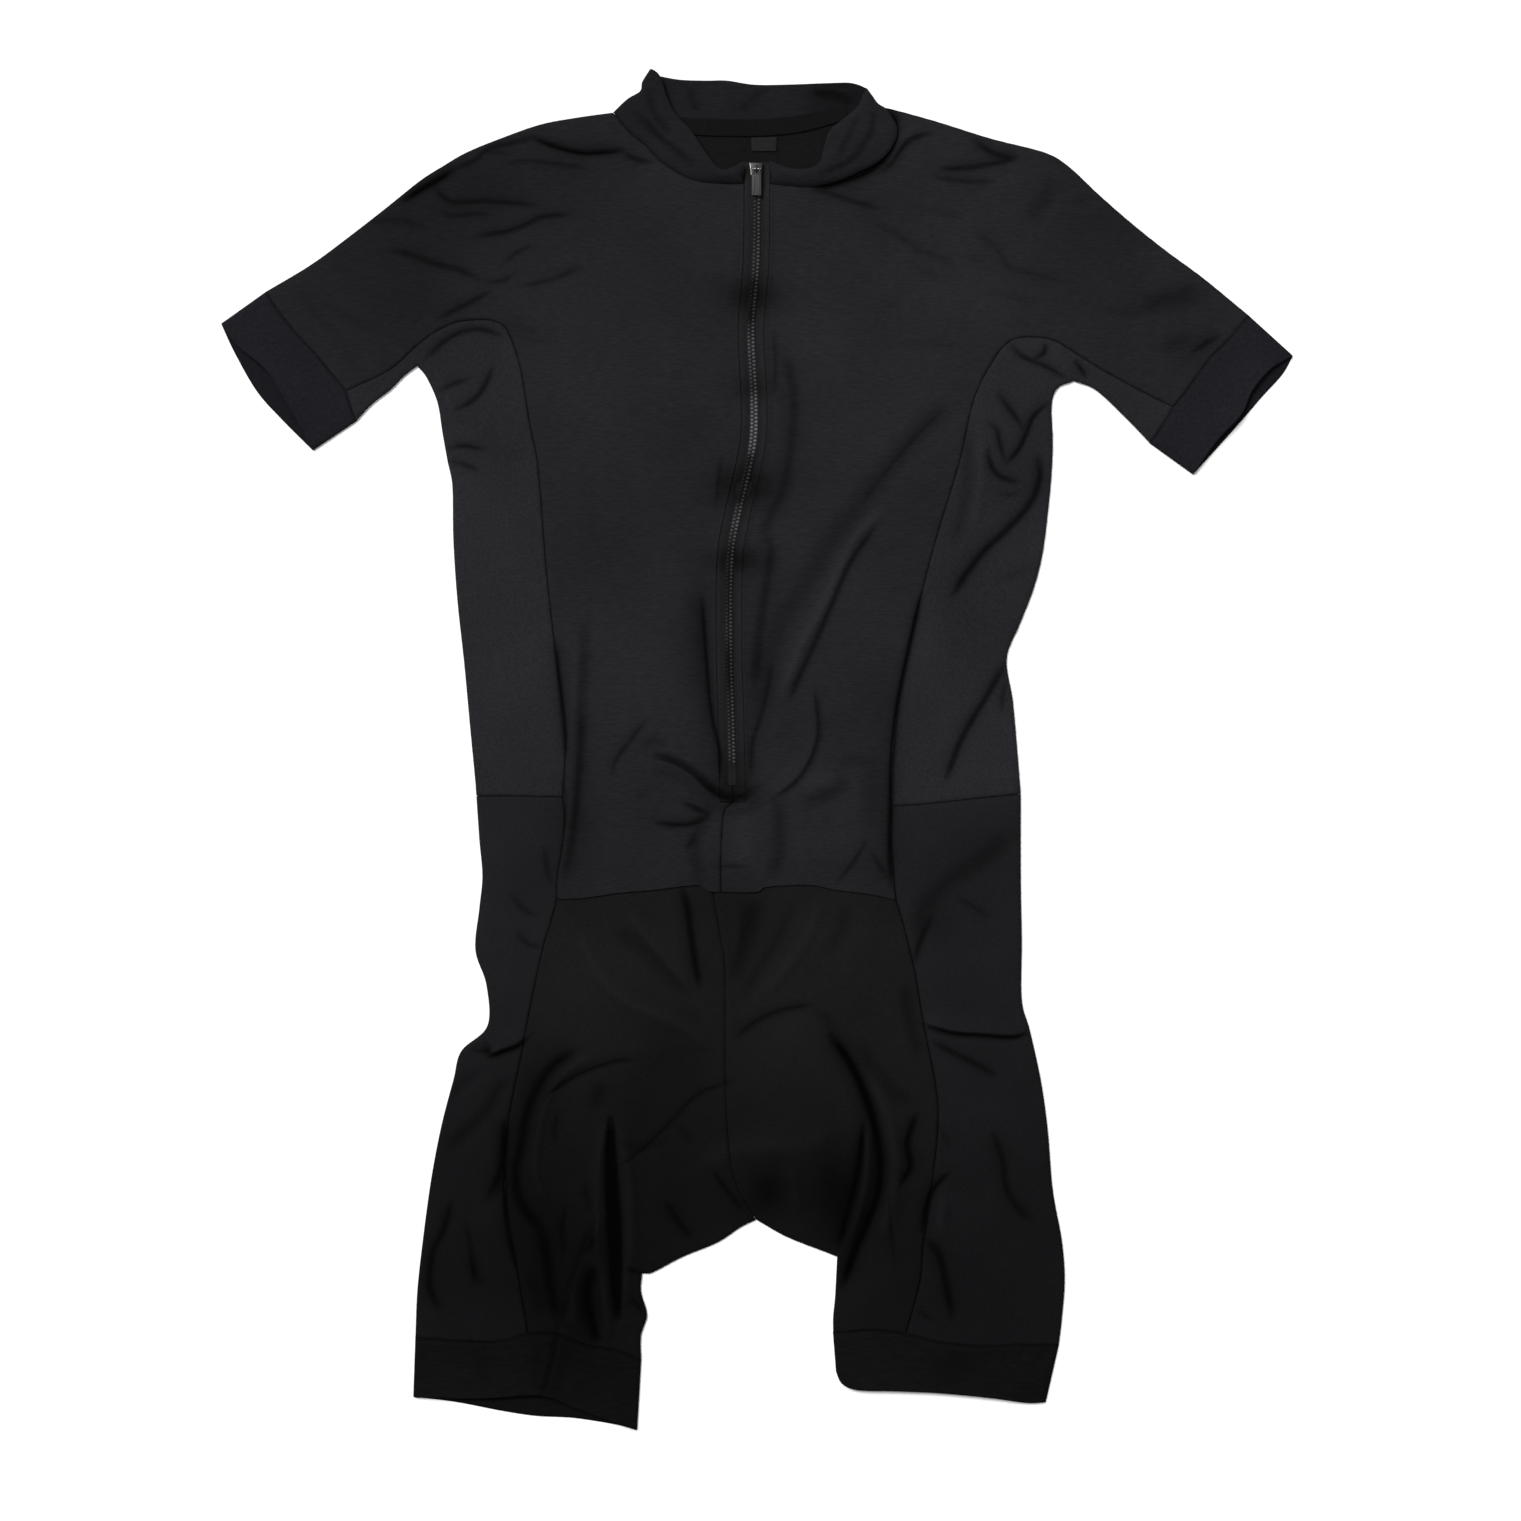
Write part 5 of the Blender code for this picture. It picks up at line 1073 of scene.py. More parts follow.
panel("cloth_thigh_right", chain("lap_top_r", "seam_lap_r", "shorts_r", "band_b_r", "inner_r",
                                 "crotch_r", "-shorts_mid"),
      front_top(None, [(near_shorts_mid, 0.9, 1.4)]), SHORTS, "thigh_right", "shorts",
      shade=front_shade)


# ------------------------------------------------------------------ bands
def band(name, seam_names, front_name, back_name, mat, node, slot, lip, rings=26, count=90,
         wall=0.9, crease=None, inner_painted_shade=0.12):
    """A flattened tube from its seam to its mouth, with a folded lip at the mouth."""
    def even(line):
        s = np.concatenate([[0], np.cumsum(np.linalg.norm(np.diff(line, axis=0), axis=1))])
        base = np.linspace(0, 1, count + 1)
        ends = np.array([0.25, 0.9, 1.9, 3.2]) / s[-1]
        t = np.concatenate([[0], ends, base[(base > ends[-1] * 1.3) & (base < 1 - ends[-1] * 1.3)],
                            1 - ends[::-1], [1]]) * s[-1]
        return np.stack([np.interp(t, s, line[:, 0]), np.interp(t, s, line[:, 1])], axis=1)
    seam = np.vstack([curve(seam_names[0], 1.0)[:-1], curve(seam_names[1], 1.0)])
    seam, front_lip, back_lip = even(seam), even(curve(front_name, 1.0)), even(curve(back_name, 1.0))
    m = min(len(seam), len(front_lip), len(back_lip))

    def fit(line):
        i = np.linspace(0, len(line) - 1, m)
        k = np.arange(len(line))
        return np.stack([np.interp(i, k, line[:, 0]), np.interp(i, k, line[:, 1])], axis=1)
    seam, front_lip, back_lip = fit(seam), fit(front_lip), fit(back_lip)
    out_dir = (front_lip[0] - seam[0] + front_lip[-1] - seam[-1]) / 2
    out_dir /= np.linalg.norm(out_dir)
    seam = seam + out_dir * SEAM_INSET * 2
    loops, painted_lights = [], []
    for k in range(rings + 1):
        u = k / rings
        u = u ** 0.9
        front = seam * (1 - u) + front_lip * u
        back = seam * (1 - u) + back_lip * u
        side = np.minimum(np.linalg.norm(front - front[0], axis=1),
                          np.linalg.norm(front - front[-1], axis=1))
        reach = np.linalg.norm(front_lip - seam, axis=1).mean()
        from_seam = u * reach
        z = EDGE_HEIGHT + LOFT * (1 - np.exp(-side / LOFT_REACH)) \
            + (1 - np.exp(-side / 6.0)) * (fold_field(front) + 0.35 * noise(front, 23.0, 5)
                                           + 0.5 * noise(front, 61.0, 3))
        z = np.maximum(z, 2.4)
        z = z + lip * (u ** 3) * np.sin(np.pi * np.clip(np.arange(m) / (m - 1), 0, 1)) ** 0.8
        z = z - 0.75 * np.exp(-(from_seam / 1.1) ** 2) * (1 + 0.5 * noise(front, 4.0, 13))
        z = z - 0.3 * np.exp(-((reach - from_seam - 3.0) / 1.0) ** 2)
        if crease is not None:
            z = crease(front, z, u)
        z = rolled(z, side, 1.1)
        if k == 0:
            tucked = np.maximum(np.minimum(z - 0.85, z), 1.3)
            outer = [(*(p - out_dir * 1.3), h) for p, h in zip(front, tucked)]
            inner = [(*(p - out_dir * 1.3), max(h - 0.35, 1.05)) for p, h in zip(front, tucked)]
            for i in range(m - 2, 0, -1):
                outer.append((*(back[i] - out_dir * 0.1), 0.0))
                inner.append((*(back[i] - out_dir * 0.1), 0.95))
            loops.append((np.array(outer), np.array(inner)))
            painted_lights.append(front_shade(front))
        across = front[-1] - front[0]
        across /= np.linalg.norm(across)
        outer, inner = [], []
        for i in range(m):
            outer.append((*front[i], z[i]))
            zi = max(z[i] - wall, 1.05)
            shift = across * min(wall, 1.0) if i < m / 2 else -across * min(wall, 1.0)
            f = math.exp(-side[i] / 1.5)
            inner.append((*(front[i] + shift * f), zi))
        for i in range(m - 2, 0, -1):
            low = 0.9 * (1 - min(side[i] / 2.5, 1.0)) ** 2
            outer.append((*back[i], low))
            f = math.exp(-side[i] / 1.5)
            shift = across * min(wall, 1.0) if i < m / 2 else -across * min(wall, 1.0)
            inner.append((*(back[i] + shift * f), 0.95))
        loops.append((np.array(outer), np.array(inner)))
        painted_lights.append(front_shade(front))
    bm = bmesh.new()
    layer = bm.verts.layers.float.new("crease")
    rows = [[[bm.verts.new(Vector(p) / 1000) for p in part] for part in pair] for pair in loops]
    # painted shade: the outer face takes the folds' painted shade, the inner face and underside an even painted
    # shade
    for pair, painted_light in zip(rows, painted_lights):
        for v, value in zip(pair[0][:m], painted_light):
            v[layer] = float(value)
        for v in pair[1] + pair[0][m:]:
            v[layer] = inner_painted_shade
    # the mouth's lip is rounded by one more ring between the outer and the inner face
    lip_mid = (loops[-1][0] + loops[-1][1]) / 2
    lip_mid[:, :2] += out_dir * 0.45
    mid = [bm.verts.new(Vector(p) / 1000) for p in lip_mid]
    n = len(mid)
    for k in range(rings + 1):
        for which in (0, 1):
            a, b = rows[k][which], rows[k + 1][which]
            for i in range(n):
                j = (i + 1) % n
                bm.faces.new((a[i], a[j], b[j], b[i]))
    for a, b in ((rows[-1][0], mid), (mid, rows[-1][1]), (rows[0][0], rows[0][1])):
        for i in range(n):
            j = (i + 1) % n
            bm.faces.new((a[i], a[j], b[j], b[i]))
    bmesh.ops.recalc_face_normals(bm, faces=bm.faces)
    obj = finish_mesh(name, bm, mat, node, slot, sharp=60)
    round_len = np.sum(np.linalg.norm(np.diff(seam, axis=0), axis=1)) \
        + np.sum(np.linalg.norm(np.diff(back_lip, axis=0), axis=1))
    deep = (np.linalg.norm(front_lip - seam, axis=1).mean()
            + np.linalg.norm(back_lip - seam, axis=1).mean()) / 2
    SHEETS.append((name, round(round_len / 1000, 4), round(deep / 1000, 4),
                   round(round_len * deep / 1e6, 5)))
    ("back" if "cuff" in node else
                       ("seat_left" if "left" in node else "seat_right"))
    return obj


band("cloth_cuff_left", ("cuff_a_l", "cuff_b_l"), "mouth_front_l", "mouth_back_l", CUFF,
     "cuff_left", "sleeve_band", 3.5, inner_painted_shade=0.22)
band("cloth_cuff_right", ("cuff_a_r", "cuff_b_r"), "mouth_front_r", "mouth_back_r", CUFF,
     "cuff_right", "sleeve_band", 3.5, inner_painted_shade=0.22)
band("cloth_gripper_left", ("band_a_l", "band_b_l"), "foot_front_l", "foot_back_l", BAND,
     "gripper_left", "leg_band", 3.0, count=110)
band("cloth_gripper_right", ("band_a_r", "band_b_r"), "foot_front_r", "foot_back_r", BAND,
     "gripper_right", "leg_band", 2.0, count=110)

# ------------------------------------------------------------------ back layer
NECK_BACK = smooth_curve([JUNCTION["neck_l"], (645, 116), (681, 119), (740, 121), (775, 120),
                          (830, 117), (862, 112), JUNCTION["neck_r"]], STEP)
BACK_WAIST = smooth_curve([(481, 880), (750, 888), (1021, 880)], 6.0)
BACK_MID = smooth_curve([(750, 888), (752, 1000), (754, 1120), JUNCTION["crotch"]], 6.0)


def cut(line, y_chart, above):
    y = (CHART_CENTRE[1] - y_chart) * UNIT
    order = line if line[0, 1] > line[-1, 1] else line[::-1]
    x = np.interp(y, order[::-1, 1], order[::-1, 0])
    if above:
        return np.vstack([order[order[:, 1] > y + 1], [[x, y]]])
    return np.vstack([[[x, y]], order[order[:, 1] < y - 1]])


side_low_l, side_low_r = curve("side_low_l"), curve("side_low_r")
back_l, back_r = cut(side_low_l, 880, True), cut(side_low_r, 880, True)
seat_l, seat_r = cut(side_low_l, 880, False), cut(side_low_r, 880, False)
BACK_WAIST[0], BACK_WAIST[-1] = back_l[-1], back_r[-1]
half = len(BACK_WAIST) // 2
BACK_MID[0] = BACK_WAIST[half]


def back_top(points):
    """The back lies flat; its rim keeps under the rolled edge of the front."""
    return 1.0 + 0.0 * points[:, 0]


def seat_top(points):
    return 1.0 + SEAT_PART * pad_bulge(points)


def flat_panel(name, loop, top, mat, node, slot, step, rim=2.6):
    loop = inset(loop, SEAM_INSET)
    edge = near_edge(loop)
    # draw the rim in from the outline, where the front rolls over it
    inner = inset(loop, rim)
    use = np.clip(1 - edge / 1.0, 0, 1)[:, None]
    loop = loop * (1 - use) + inner * use
    keep = [loop[0]]
    for p in loop[1:]:
        if np.linalg.norm(p - keep[-1]) > 0.8:
            keep.append(p)
    loop = np.array(keep)
    low, high = loop.min(axis=0), loop.max(axis=0)
    ys = np.arange(low[1] + step / 2, high[1], step * 0.866)
    xs = np.arange(low[0], high[0] + step, step)
    gx, gy = np.meshgrid(xs, ys)
    gx = gx + (np.arange(len(ys)) % 2)[:, None] * step / 2
    net = np.stack([gx.ravel(), gy.ravel()], axis=1)
    net = net[inside(net, loop)]
    near = Near([np.vstack([loop, loop[:1]])], 0.5)
    net = net[near(net) > 0.5 * step]
    allp = np.vstack([loop, net])
    n = len(loop)
    v2, _, faces, *_ = delaunay_2d_cdt([Vector((float(x), float(y))) for x, y in allp],
                                       [(i, (i + 1) % n) for i in range(n)],
                                       [list(range(n))], 1, 1e-5)
    xy = np.array([(v.x, v.y) for v in v2])
    # the underside lies on the floor but for its own creases
    under = np.clip(-fold_field(xy, UNDER_FOLDS), 0, 1.2) * step01(near(xy), 0.5, 6.0)
    z = np.maximum(top(xy), under + 0.35)
    # painted shade in the creases of the underside
    painted_light = 0.85 * fold_field(xy, UNDER_FOLDS, shade=True)
    bm = bmesh.new()
    layer = bm.verts.layers.float.new("crease")
    made = [bm.verts.new((x / 1000, y / 1000, zz / 1000)) for (x, y), zz in zip(xy, z)]
    low_made = [bm.verts.new((x / 1000, y / 1000, zz / 1000)) for (x, y), zz in zip(xy, under)]
    for v, value in zip(low_made, painted_light):
        v[layer] = float(value)
    for f in faces:
        bm.faces.new([made[i] for i in f])
        bm.faces.new([low_made[i] for i in f][::-1])
    for i in range(n):
        j = (i + 1) % n
        bm.faces.new((made[i], made[j], low_made[j], low_made[i]))
    bmesh.ops.recalc_face_normals(bm, faces=bm.faces)
    obj = finish_mesh(name, bm, mat, node, slot, sharp=40)
    w, l = (high - low) / 1000
    a = abs(area_of(loop)) / 1e6
    SHEETS.append((name, round(float(w), 4), round(float(l), 4), round(a, 5)))
    return obj


flat_panel("cloth_back", chain("shoulder_l", "cuff_a_l", "cuff_b_l", "under_l", "side_up_l",
                               back_l, BACK_WAIST, back_r[::-1], "-side_up_r", "-under_r",
                               "-cuff_b_r", "-cuff_a_r", "-shoulder_r", NECK_BACK[::-1]),
           back_top, JERSEY_IN, "back", "jersey", 4.6)
flat_panel("cloth_seat_left", chain(seat_l, "band_a_l", "band_b_l", "inner_l", "crotch_l",
                                    BACK_MID[::-1], BACK_WAIST[:half + 1][::-1]),
           seat_top, SHORTS, "seat_left", "shorts", 4.2)
flat_panel("cloth_seat_right", chain(seat_r, "band_a_r", "band_b_r", "inner_r", "crotch_r",
                                     BACK_MID[::-1], BACK_WAIST[half:]),
           seat_top, SHORTS, "seat_right", "shorts", 4.2)

# ------------------------------------------------------------------ collar
TOP_L = smooth_curve([(650, 69), (660, 77), (667, 97), (676, 115), (691, 131), (706, 153),
                      (720, 170), (732, 168), (745, 162)], 1.6)
TOP_R = smooth_curve([(867, 88), (862, 97), (857, 108), (842, 121), (829, 132), (823, 150),
                      (817, 166), (795, 170), (769, 162)], 1.6)
OUT_L = smooth_curve([JUNCTION["neck_l"], (627, 99), (640, 91), (642, 82), (650, 69)], 1.6)
OUT_R = smooth_curve([(867, 88), (872, 95), (878, 103), JUNCTION["neck_r"]], 1.6)
base_l, base_r = curve("neck_base_l", 1.6), curve("neck_base_r", 1.6)
COLLAR_FOLDS = [
    ("left half", "v", 3.0, 1.2, [(634, 112), (652, 132), (676, 152), (700, 170)]),
    ("left half", "v", 2.6, 1.0, [(648, 92), (656, 116), (672, 138)]),
    ("left half", "r", 4.0, 1.2, [(640, 104), (664, 138), (694, 164)]),
    ("right half", "v", 3.0, 1.2, [(874, 112), (872, 134), (856, 156)]),
    ("right half", "v", 2.8, 1.0, [(860, 118), (848, 140), (838, 164)]),
    ("right half", "v", 2.6, 1.2, [(822, 176), (848, 164), (866, 150)]),
]


def shallow(points, folds):
    total = np.zeros(len(points))
    for _, form, w, h, rows in folds:
        line = smooth_curve(rows, 2.0)
        t, u = along(points, line)
        taper = np.sqrt(np.clip(step01(u, -0.02, 0.3) * step01(1 - u, -0.02, 0.3), 0, 1))
        s = t / w
        f = np.exp(-s * s)
        total += (h if form == "r" else -h) * f * taper
    return total


def collar_shade(folds, depth):
    """Painted shade of the collar's creases, over an even painted shade of its own that may deepen from side to
    side.
    """
    def shade(points):
        lit = 1 - depth(CHART_CENTRE[0] + points[:, 0] / UNIT)
        for row in folds:
            if row[1] == "v":
                lit *= 1 + 0.30 * np.clip(shallow(points, [row]), -1.5, 0)
        return 1 - lit
    return shade


def collar_top(base, top, out):
    near_base, near_top, near_out = Near([base]), Near([top]), Near([out])

    def height(points):
        a, b, c = near_base(points), near_top(points), near_out(points)
        s = a / np.maximum(a + b, 1e-6)
        z = EDGE_HEIGHT + 1.7 + 5.4 * np.sin(np.clip(s, 0, 1) * math.pi * 0.62) \
            + shallow(points, COLLAR_FOLDS) + 0.3 * noise(points, 17.0, 21)
        z = z - 1.1 * np.exp(-(a / 1.3) ** 2)
        # the top edge is a soft fold, and the outer edge rolls down to the floor
        z = z - 1.4 * (1 - np.sqrt(np.clip(1 - (1 - np.clip(b / 2.2, 0, 1)) ** 2, 0, 1)))
        t = np.clip(c / 4.0, 0, 1)
        return 1.2 + (z - 1.2) * np.sqrt(np.clip(1 - (1 - t) ** 2, 0, 1))
    return height


# painted shade: the left collar is evenly darkened by 0.18, the right one by 0.10
panel("cloth_collar_left", chain("neck_base_l", TOP_L[::-1], OUT_L[::-1]),
      collar_top(base_l, TOP_L, OUT_L), JERSEY, "collar_left", "jersey",
      thick=1.0, step=1.7, rows=(0.35, 0.9, 1.7),
      shade=collar_shade(COLLAR_FOLDS, lambda x: 0.18 + 0 * x))
panel("cloth_collar_right", chain("neck_base_r", OUT_R[::-1], TOP_R),
      collar_top(base_r, TOP_R, OUT_R), JERSEY, "collar_right", "jersey",
      thick=1.0, step=1.7, rows=(0.35, 0.9, 1.7),
      shade=collar_shade(COLLAR_FOLDS, lambda x: 0.10 + 0 * x))
BACK_TOP = smooth_curve([(652, 74), (679, 79), (706, 80), (727, 80), (754, 84), (787, 84),
                         (846, 82), (858, 84), (867, 88)], 1.6)
BACK_LOW = smooth_curve([(655, 115.4), (681, 117.8), (740, 119.8), (775, 118.8), (820, 118.4),
                         (842, 117.0), (868, 112.6)], 1.6)
BACK_COLLAR_FOLDS = [
    ("crease", "v", 3.0, 1.6, [(660, 80), (664, 94), (668, 110)]),
    ("crease", "v", 3.0, 1.0, [(690, 88), (693, 100), (700, 112)]),
    ("crease", "v", 3.4, 0.9, [(768, 88), (752, 102), (738, 112)]),
    ("fold", "v", 3.2, 1.8, [(812, 94), (836, 97), (856, 104)]),
    ("fold", "r", 3.6, 1.2, [(806, 88), (834, 90), (858, 94)]),
]
near_back_top = Near([BACK_TOP])


def back_collar_top(points):
    b = near_back_top(points)
    z = 1.6 + 1.3 * np.exp(-(b / 9.0)) + shallow(points, BACK_COLLAR_FOLDS) \
        + 0.25 * noise(points, 19.0, 31)
    z = np.maximum(z, 1.15)
    t = np.clip(b / 1.6, 0, 1)
    return 0.75 + (z - 0.75) * np.sqrt(np.clip(1 - (1 - t) ** 2, 0, 1))


# painted shade: the back collar is darkened by 0.24, deepening by 0.30 towards its right end
panel("cloth_collar_back", chain(BACK_TOP, BACK_LOW[::-1]), back_collar_top, JERSEY,
      "collar_back", "jersey", step=1.7, rows=(0.35, 0.9, 1.7), thick=0.7,
      shade=collar_shade(BACK_COLLAR_FOLDS, lambda x: 0.24 + 0.30 * step01(x, 790, 835)))
TAPE_TOP = smooth_curve([(664, 112), (681, 117), (740, 119), (775, 118), (805, 114),
                         (838, 108), (848, 106)], 1.6)
TAPE_LOW = smooth_curve([(664, 124), (690, 134), (740, 136), (775, 135), (805, 131),
                         (838, 122), (848, 119)], 1.6)


def tape_top(points):
    return 2.6 + 0.18 * noise(points, 14.0, 41)


panel("cloth_neck_tape", chain(TAPE_TOP, TAPE_LOW[::-1]), tape_top, NECK_TAPE, "neck_tape", "tape",
      thick=0.6, step=2.0, rows=(0.4, 1.2))
LABEL = smooth_curve([(751, 137.2), (777, 136.6)], 1.2)
LABEL_LOW = smooth_curve([(751, 151), (777, 151)], 1.2)
panel("cloth_neck_label", chain(LABEL, LABEL_LOW[::-1]),
      lambda p: 2.3 + 0.12 * noise(p, 9.0, 43), LABEL_SATIN, "neck_label", "tape",
      thick=0.5, step=1.5, rows=(0.4,))


# ------------------------------------------------------------------ zip
def zip_base(points):
    base = front_top(jersey_lift)(points)
    y = CHART_CENTRE[1] - points[:, 1] / UNIT
    under = 1 - step01(y, 180, 194)
    return base * (1 - under) + 3.2 * under


near_chain_line = Near([ZIP_LINE])


def zip_tape_top(points):
    d = near_chain_line(points)
    y = CHART_CENTRE[1] - points[:, 1] / UNIT
    sunk = 1 - step01(y, 784, 798)
    beside = 1 - step01(d, 4.5, 7.5)
    return zip_base(points) - 0.05 - sunk * (0.40 + 0.55 * beside
                                             + 0.25 * np.exp(-((d - 5.0) / 1.4) ** 2))


def tape_shade(points):
    # painted shade beside the chain and along the tape's edges, fading out near its end, with the broad painted
    # shading and the folds' painted shade
    d = near_chain_line(points)
    side = 0.24 * np.exp(-((d - 4.6) / 1.6) ** 2) + 0.14 * step01(d, 8.6, 10.0)
    y = CHART_CENTRE[1] - points[:, 1] / UNIT
    side = side * (1 - step01(y, 776, 794))
    return 1 - (1 - side) * (1 - broad_painted_shade(points)) * (1 - fold_field(points, shade=True))


tape_l = chain(beside_zip(-ZIP_TAPE_HALF, 162, 801.6), beside_zip(-0.15, 162, 801.6)[::-1])
tape_r = chain(beside_zip(ZIP_TAPE_HALF, 162, 801.6), beside_zip(0.15, 162, 801.6)[::-1])
panel("cloth_zip_tape_left", tape_l, zip_tape_top, TAPE, "zip_tape_left", "tape",
      thick=0.45, step=2.0, rows=(0.4, 1.1), shade=tape_shade)
panel("cloth_zip_tape_right", tape_r, zip_tape_top, TAPE, "zip_tape_right", "tape",
      thick=0.45, step=2.0, rows=(0.4, 1.1), shade=tape_shade)


# How much of the light the chain turns to the camera: y, brightness.
CHAIN_LIGHT = [
    (170, 0.70), (235, 0.62), (262, 0.85), (274, 0.70), (282, 0.28), (318, 0.26), (330, 0.70),
    (345, 1.15), (375, 0.85), (389, 0.52), (400, 1.30), (425, 2.00), (448, 1.60), (458, 0.42),
    (500, 0.28), (508, 0.70), (522, 1.15), (534, 0.85), (548, 0.40), (575, 0.34), (600, 0.44),
    (630, 0.60), (642, 0.48), (655, 0.30), (680, 0.28), (700, 0.50), (730, 0.66), (752, 0.74),
    (764, 0.55), (772, 0.75), (800, 0.60),
]


def zip_painted_light(points):
    """Painted light along the chain: painted shade in the dips, a painted highlight on the crest at mid chest.
    """
    y, light = np.array(CHAIN_LIGHT).T
    return 1 - np.interp(CHART_CENTRE[1] - points[:, 1] / UNIT, y, light)


def teeth():
    """Moulded teeth along both tapes, set half a pitch apart, on a slim cord each."""
    line = ZIP_LINE
    s = np.concatenate([[0], np.cumsum(np.linalg.norm(np.diff(line, axis=0), axis=1))])
    start = float(np.interp(-(CHART_CENTRE[1] - 179.5) * UNIT, -line[:, 1], s))
    end = float(np.interp(-(CHART_CENTRE[1] - 767.0) * UNIT, -line[:, 1], s))
    count = int((end - start) / TOOTH_PITCH)
    centre, flip, axis = [], [], []
    for side in (-1, 1):
        for k in range(count):
            at = start + (k + (0.5 if side > 0 else 0.0)) * TOOTH_PITCH
            p = np.array([np.interp(at, s, line[:, 0]), np.interp(at, s, line[:, 1])])
            q = np.array([np.interp(at + 1, s, line[:, 0]), np.interp(at + 1, s, line[:, 1])])
            d = (q - p) / np.linalg.norm(q - p)
            centre.append(p)
            flip.append(side)
            axis.append(d)
    centre, flip, axis = np.array(centre), np.array(flip), np.array(axis)
    out = np.stack([-axis[:, 1], axis[:, 0]], axis=1) * flip[:, None]
    z = zip_base(centre) - 0.35
    painted_lights = zip_painted_light(centre)
    bm = bmesh.new()
    layer = bm.verts.layers.float.new("crease")
    # one head: rings of a low dome, longer across the zip than along it
    rings = [(1.0, -0.8), (1.0, 0.05), (0.86, 0.42), (0.55, 0.68), (0.0, 0.78)]
    for p, o, d, zz, side, painted_light in zip(centre, out, axis, z, flip, painted_lights):
        rows = []
        half = (1.35, 1.05) if side < 0 else (1.45, 1.0)
        mid = p + o * 1.55
        for scale, up in rings:
            if scale == 0:
                rows.append([bm.verts.new((mid[0] / 1000, mid[1] / 1000, (zz + up) / 1000))])
                continue
            row = []
            for k in range(8):
                c, sn = math.cos(k * math.pi / 4), math.sin(k * math.pi / 4)
                q = mid + o * (half[0] * scale * c) + d * (half[1] * scale * sn)
                row.append(bm.verts.new((q[0] / 1000, q[1] / 1000, (zz + up) / 1000)))
            rows.append(row)
        for a, b in zip(rows[:-1], rows[1:]):
            for i in range(8):
                j = (i + 1) % 8
                bm.faces.new((a[i], a[j], b[j], b[i]) if len(b) > 1 else (a[i], a[j], b[0]))
        bm.faces.new(rows[0][::-1])
        # painted shade: heads of the left row are a little darker than those of the right
        for row in rows:
            for v in row:
                v[layer] = float(painted_light + (0.25 if side < 0 else 0.0))
    bmesh.ops.recalc_face_normals(bm, faces=bm.faces)
    finish_mesh("zip_teeth", bm, TEETH, "zip_chain", "teeth", sharp=70)
    # the corded strip under the heads, a low arch from side to side
    keep = (s >= start - 1.0) & (s <= end + 14.0)
    path = line[keep]
    way = np.gradient(path, axis=0)
    way /= np.linalg.norm(way, axis=1)[:, None]
    across = np.stack([-way[:, 1], way[:, 0]], axis=1)
    z = zip_base(path) - 0.35
    section = [(-3.1, -0.9), (-3.1, -0.25), (-2.3, 0.1), (-0.4, 0.22), (0.0, 0.0), (0.4, 0.22),
               (2.3, 0.1), (3.1, -0.25), (3.1, -0.9)]
    painted_lights = zip_painted_light(path)
    bm = bmesh.new()
    layer = bm.verts.layers.float.new("crease")
    rows = [[bm.verts.new(((p[0] + a[0] * x) / 1000, (p[1] + a[1] * x) / 1000, (zz + up) / 1000))
             for x, up in section] for p, a, zz in zip(path, across, z)]
    # painted light along the cord, as on the heads
    for row, painted_light in zip(rows, painted_lights):
        for v in row:
            v[layer] = float(painted_light)
    m = len(section)
    for a, b in zip(rows[:-1], rows[1:]):
        for i in range(m):
            j = (i + 1) % m
            bm.faces.new((a[i], a[j], b[j], b[i]))
    bm.faces.new(rows[0][::-1])
    bm.faces.new(rows[-1])
    bmesh.ops.recalc_face_normals(bm, faces=bm.faces)
    return finish_mesh("zip_cord", bm, COIL, None, "teeth", sharp=40)


teeth()


def stitches(name, lines, pitch=3.0, length=2.1, radius=0.17, lift=0.12, height=None, mat=THREAD):
    """Short thread dashes laid on the cloth along lines."""
    bm = bmesh.new()
    height = height or front_top(jersey_lift)
    for line in lines:
        s = np.concatenate([[0], np.cumsum(np.linalg.norm(np.diff(line, axis=0), axis=1))])
        at = np.arange(pitch / 2, s[-1] - pitch / 2, pitch)
        if not len(at):
            continue
        ends = []
        for off in (-length / 2, 0, length / 2):
            ends.append(np.stack([np.interp(at + off, s, line[:, 0]),
                                  np.interp(at + off, s, line[:, 1])], axis=1))
        zs = [height(e) for e in ends]
        for i in range(len(at)):
            rings = []
            for k in range(3):
                p = ends[k][i]
                z = zs[k][i] + lift - (0.22 if k != 1 else 0.0)
                d = ends[2][i] - ends[0][i]
                d = d / max(np.linalg.norm(d), 1e-6)
                nrm = np.array([-d[1], d[0]])
                r = radius * (1.0 if k == 1 else 0.7)
                row = []
                for c, sn in ((1, 0), (0, 1), (-1, 0), (0, -1)):
                    row.append(bm.verts.new(((p[0] + nrm[0] * r * c) / 1000,
                                             (p[1] + nrm[1] * r * c) / 1000,
                                             (z + r * sn) / 1000)))
                rings.append(row)
            for a, b in zip(rings[:-1], rings[1:]):
                for m in range(4):
                    n = (m + 1) % 4
                    bm.faces.new((a[m], a[n], b[n], b[m]))
            bm.faces.new(rings[0][::-1])
            bm.faces.new(rings[-1])
    bmesh.ops.recalc_face_normals(bm, faces=bm.faces)
    return finish_mesh(name, bm, mat, None, "tape")


def offset_line(line, amount):
    d = np.gradient(line, axis=0)
    d = d / np.maximum(np.linalg.norm(d, axis=1), 1e-6)[:, None]
    return line + np.stack([-d[:, 1], d[:, 0]], axis=1) * amount


